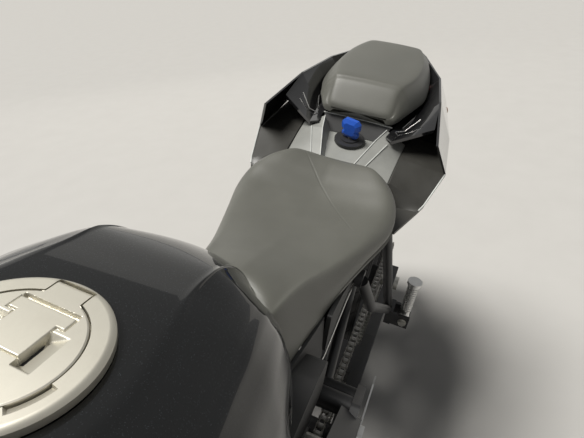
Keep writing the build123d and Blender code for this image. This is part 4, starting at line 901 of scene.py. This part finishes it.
def slim_bars(name, lines, radius, material, sides=SIDES):
    """Thin round strips along lines of points, on the given sides."""
    bars = Pieces()
    for side in sides:
        for line in lines:
            for start, end in zip(line, line[1:]):
                bars.round_bar(on_side(start, side), on_side(end, side), radius, 10)
    return bars.make(name, material)


panels("wing_flanges", [
    # towards the pad base x, y, z, then the wing's inner edge x, y, z
    (-440, 64, 866.5, -428, 77, 866),
    (-482, 69, 867.5, -500, 87.5, 869),
    (-578, 80, 871, -578, 90, 871),
    (-662, 75, 884, -662, 84, 885),
    (-738, 55, 903, -736, 67, 903),
], (0, 0, -3), gloss_black)
# The tunnels' floors carry the shelf on under the wings, and their black is painted shade inside the tunnels.
panels("tunnel_floors", [
    # outer wall's foot x, y, z, then beside the console x, y, z
    (-496, 173, 840, -496, 84, 847),
    (-540, 166, 850, -520, 56, 849),
    (-665, 136, 884, -665, 50, 866),
    (-774, 71, 919, -780, 42, 888),
], (0, 0, -2), black_plastic)
panels("console_joints", [
    (-300, 107, 769, -300, 92, 766),
    (-350, 96, 782.5, -350, 88, 780),
    (-364, 99, 819, -364, 92, 816),
    (-425, 100, 839, -425, 94, 836),
    (-466, 102, 849, -466, 95, 846),
    (-506, 103, 850, -500, 84, 846),
], (0, 0, -2), tail_dark)
# Black plastic, darker than the tail's dark plastic, as painted shade on the wall under the pad's lip.
panels("lip_wall", [
    # along the lip under the pad x, y, z, then along the valley's floor x, y, z
    (-478, -66, 870, -462, -47, 842),
    (-481, -30, 870.5, -463, -30, 843),
    (-481, 30, 870.5, -463, 30, 843),
    (-478, 66, 870, -462, 47, 842),
], (-3, 0, -1), black_plastic, sides=(1,))
# Pale strips along the pad's lip and the console's ridges: painted highlights on these edges.
slim_bars("lip_edge", [[(-478, -67, 870.5), (-481, -30, 871), (-481, 30, 871), (-478, 67, 870.5)]],
          1.3, painted_edge_highlight, sides=(1,))
slim_bars("ridge_edges", [[(-364, 29.5, 832.6), (-425, 50, 861.6), (-466, 60, 868.6)],
                          [(-364, 46.5, 829.8), (-425, 71.5, 859)]], 1.0, painted_edge_highlight)
# Bright metal strips on the wings beside the pad's base: painted highlights along the wings' edges.
slim_bars("wing_highlight_strips", [[(-470, 76, 868), (-462, 92, 876.5), (-478, 113, 898)],
                          [(-492, 84, 869), (-530, 97, 880), (-600, 101, 883.5)]], 0.9, brushed)
# A pale strip along the shelf's outer rim: a painted highlight.
slim_bars("shelf_rims", [[(-352, 156, 790.5), (-366, 162, 796.3), (-434, 180.4, 827.6)]], 1.4, painted_edge_highlight)

LOCK_PLACE = PARK @ Matrix.Translation((-441, 0, 841.5)) @ Matrix.Rotation(math.radians(8), 4, "Y")
KEY_TURN = Matrix.Rotation(math.radians(-14), 4, "Z")
KEY_MIDDLE = 26
key_half = [(11, 9), (16, 12), (16.5, 18), (14, 21.5), (17.5, 25), (18.5, 31), (18, 38), (12, 44)]
key_outline = [(-y, z) for y, z in key_half] + [(y, z) for y, z in reversed(key_half)]
key_rings = [[(x, y * share, KEY_MIDDLE + (z - KEY_MIDDLE) * share) for y, z in key_outline]
             for x, share in ((-7.5, 0.62), (-3.5, 1.0), (3.5, 1.0), (7.5, 0.62))]
key = skin_rings("key_head", key_rings, blue_plastic, place=LOCK_PLACE @ KEY_TURN, crease=18.0)
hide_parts("key")
drum("key_neck", 4.5, (0, 0, 3), (0, 0, 10), dark_steel, LOCK_PLACE)


# Side panels in front of the side covers, with a bright edge along their foot

panels("knee_panels", [
    (27, 82, 784, 22, 88, 690),
    (-20, 86, 780, -20, 91, 690),
    (-54, 89, 779, -54, 94, 693),
    (-64, 90, 780, -66, 96, 702),
], (0, -4, 0), black_plastic)
slim_bars("panel_edges", [[(22, 89, 689), (-54, 95, 692), (-70, 98, 704), (-150, 99.5, 734),
                           (-306, 99.5, 739)]], 1.3, brushed)


# Small parts that the photograph doesn't show: lenses, glass, screen, cooling fins and cover screws

LENS_R, LENS_BEVEL = 15.6, 4.0
FRONT_LENS = (567, 169.6, 848), (537, 171.9, 848)
REAR_LENS = (-801, 130.6, 806.8), (-832, 134.9, 808.3)
for side in SIDES:
    for name, ends, body in (("front_amber", FRONT_LENS, "steering"), ("rear_amber", REAR_LENS, "chassis")):
        start, end = (on_side(point, side) for point in ends)
        drum(name, LENS_R, start, end, amber, body=body, bevel=LENS_BEVEL)

MIRROR_AT, MIRROR_TURN = Vector((35, 330, 950)), 8.0
glass_line = [(-43, -21), (64, -28), (75, 4), (56, 24), (-35, 21)]
for side in SIDES:
    glass = Pieces()
    glass.prism([(0, y * side, z) for y, z in glass_line], Vector((-0.9, 0, 0)), Vector((0.5, 0, 0)))
    at = Matrix.Translation(on_side(MIRROR_AT, side))
    turned_in = Matrix.Rotation(math.radians(-MIRROR_TURN * side), 4, "Z")
    glass.make("mirror_glass", mirror_glass, PARK @ FORK @ at @ turned_in, "steering")


def lathe(name, profile, start, end, material, body):
    """A turned piece from start to end: profile lists (share of the way, radius)."""
    rings = [[tuple(start.lerp(end, share) + p) for p in circle(end - start, radius, 40)]
             for share, radius in profile]
    return skin_rings(name, rings, material, body=body)


BOWL_BACK, BOWL_RIM = Vector((640, 0, 840)), Vector((668, 0, 838))
bowl = [(0.0, 8), (0.25, 24), (0.6, 33), (1.0, 38), (1.0, 36.5), (0.62, 31), (0.3, 22), (0.08, 7)]
lathe("lamp_bowl", bowl, BOWL_BACK, BOWL_RIM, chrome, "steering")
drum("lamp_bulb", 6.0, (641, 0, 840), (656, 0, 839), steel, body="steering")

DASH_PLACE = PARK @ Matrix.Translation((497, 0, 968)) @ Matrix.Rotation(math.radians(52), 4, "Y")
SCREEN_HALF, SCREEN_LOW, SCREEN_HIGH = 70, -44, 28
screen_line = [(SCREEN_LOW, -SCREEN_HALF, 0), (SCREEN_HIGH, -SCREEN_HALF, 0),
               (SCREEN_HIGH, SCREEN_HALF, 0), (SCREEN_LOW, SCREEN_HALF, 0)]
screen = Pieces()
screen.prism(screen_line, Vector((0, 0, -11)), Vector((0, 0, -9.5)))
screen.make("dash_screen", gloss_black, DASH_PLACE, "steering")

RADIATOR_PLACE = PARK @ Matrix.Translation((383, 0, 652)) @ Matrix.Rotation(math.radians(-11), 4, "Y")
CORE_FACE, CORE_HALF, CORE_LOW, CORE_TALL = 12.9, 139.0, -82.0, 163.0
ROWS, ROW_PITCH, ROW_DEEP, ROW_THICK = 31, 5.3, 1.7, 1.2
COLUMNS, COLUMN_PITCH, COLUMN_DEEP, COLUMN_THICK = 46, 6.1, 0.9, 0.7
fins = Pieces()
for k in range(ROWS):
    low = CORE_LOW + 2.0 + k * ROW_PITCH
    front, high = CORE_FACE + ROW_DEEP, low + ROW_THICK
    corners = ((CORE_FACE, low), (front, low), (front, high), (CORE_FACE, high))
    fins.prism([(x, -CORE_HALF, z) for x, z in corners], Vector(), Vector((0, CORE_HALF * 2, 0)))
for k in range(COLUMNS):
    right = 1.0 - CORE_HALF + k * COLUMN_PITCH
    front, left = CORE_FACE + COLUMN_DEEP, right + COLUMN_THICK
    corners = ((CORE_FACE, right), (front, right), (front, left), (CORE_FACE, left))
    fins.prism([(x, y, CORE_LOW) for x, y in corners], Vector(), Vector((0, 0, CORE_TALL)))
fins.make("radiator_fins", dark_steel, RADIATOR_PLACE)

CASE_HALF = 135
cover_rows = [
    # centre x, centre z, radius of the screws' circle, depth of the cover, side
    (130, 400, 66, 26, 1),
    (62, 385, 82, 34, -1),
]
screws = Pieces()
for x, z, radius, depth, side in cover_rows:
    for k in range(9):
        angle = math.radians(k * 40 + 12)
        spot = (x + radius * math.cos(angle), side * (CASE_HALF + depth * 0.58), z + radius * math.sin(angle))
        screws.socket_bolt(spot, (0, side, 0), 9.0, 7.0)
screws.make("cover_screws", zinc)


# Camera at the photograph's view, floor and lights

# The view's right, down and forward directions on the upright machine
camera_axes = Matrix(((-0.3806, 0.9197, 0.0963), (0.4979, 0.2915, -0.8167), (-0.7792, -0.2629, -0.5689)))
CAMERA_AT = Vector((310, 160, 1179))
FOCAL_PIXELS, PHOTO_WIDE, SENSOR_WIDE = 442.0, 584.0, 36.0
right, down, forward = ((turn.to_3x3() @ row).normalized() for row in camera_axes)
facing = Matrix((right, -down, -forward)).transposed()
camera = bpy.data.objects.new("camera", bpy.data.cameras.new("camera"))
bpy.context.scene.collection.objects.link(camera)
camera.matrix_world = Matrix.Translation(PARK @ CAMERA_AT) @ facing.to_4x4()
camera.data.sensor_width = SENSOR_WIDE
camera.data.lens = FOCAL_PIXELS / PHOTO_WIDE * SENSOR_WIDE
camera.data.clip_start = 0.02
bpy.context.scene.camera = camera
bpy.context.scene.view_settings.view_transform = "Standard"


def floor():
    """A wide plain floor, which isn't part of the machine."""
    look = Look("floor", Roughness=0.9, Specular_IOR_Level=0.2)
    look.set("Base Color", look.mix(look.noise(6.0, 4.0), rgb(0.47, 0.46, 0.44), rgb(0.51, 0.50, 0.48)))
    mesh = bpy.data.meshes.new("floor")
    half = 80.0
    corners = [(-half, -half, 0), (half, -half, 0), (half, half, 0), (-half, half, 0)]
    mesh.from_pydata(corners, [], [(0, 1, 2, 3)])
    obj = bpy.data.objects.new("floor", mesh)
    mesh.materials.append(look.material)
    bpy.context.scene.collection.objects.link(obj)


floor()


def softbox(name, at, aim, size, watts, colour=(1.0, 1.0, 1.0)):
    """A rectangular lamp at a point, turned to face another point."""
    data = bpy.data.lights.new(name, "AREA")
    data.shape, data.size, data.size_y = "RECTANGLE", size[0], size[1]
    data.energy, data.color = watts, colour
    obj = bpy.data.objects.new(name, data)
    bpy.context.scene.collection.objects.link(obj)
    obj.location = at
    obj.rotation_euler = (Vector(aim) - Vector(at)).to_track_quat("-Z", "Y").to_euler()


def broad_light(name, towards, strength, spread, colour):
    """Even light from one side, as soft as its spread in degrees is wide."""
    data = bpy.data.lights.new(name, "SUN")
    data.energy, data.angle, data.color = strength, math.radians(spread), colour
    obj = bpy.data.objects.new(name, data)
    bpy.context.scene.collection.objects.link(obj)
    obj.rotation_euler = (-Vector(towards)).to_track_quat("-Z", "Y").to_euler()


broad_light("ceiling", (0.20, -0.34, 0.92), 4.3, 30.0, (1.0, 0.98, 0.94))
softbox("back_panel", (-3.4, -2.6, 2.4), (-0.2, 0, 0.8), (5.0, 3.0), 15.0, (1.0, 0.97, 0.90))
softbox("front_panel", (3.2, 0.7, 2.2), (0, 0, 0.6), (5.0, 3.4), 9.0)

# A plain room: darker as a light than where a camera, a mirror or a lens sees it
UNSEEN, SEEN = (0.09, 0.092, 0.095, 1.0), (0.34, 0.34, 0.334, 1.0)
world = bpy.data.worlds.new("studio")
bpy.context.scene.world = world
world.use_nodes = True
nodes, links = world.node_tree.nodes, world.node_tree.links
path = nodes.new("ShaderNodeLightPath")
seen = path.outputs["Is Camera Ray"]
for ray in ("Is Glossy Ray", "Is Transmission Ray"):
    most = nodes.new("ShaderNodeMath")
    most.operation = "MAXIMUM"
    links.new(path.outputs[ray], most.inputs[0])
    links.new(seen, most.inputs[1])
    seen = most.outputs[0]
shade = nodes.new("ShaderNodeMix")
shade.data_type = "RGBA"
shade.inputs[6].default_value = UNSEEN
shade.inputs[7].default_value = SEEN
links.new(seen, shade.inputs[0])
links.new(shade.outputs[2], nodes["Background"].inputs["Color"])
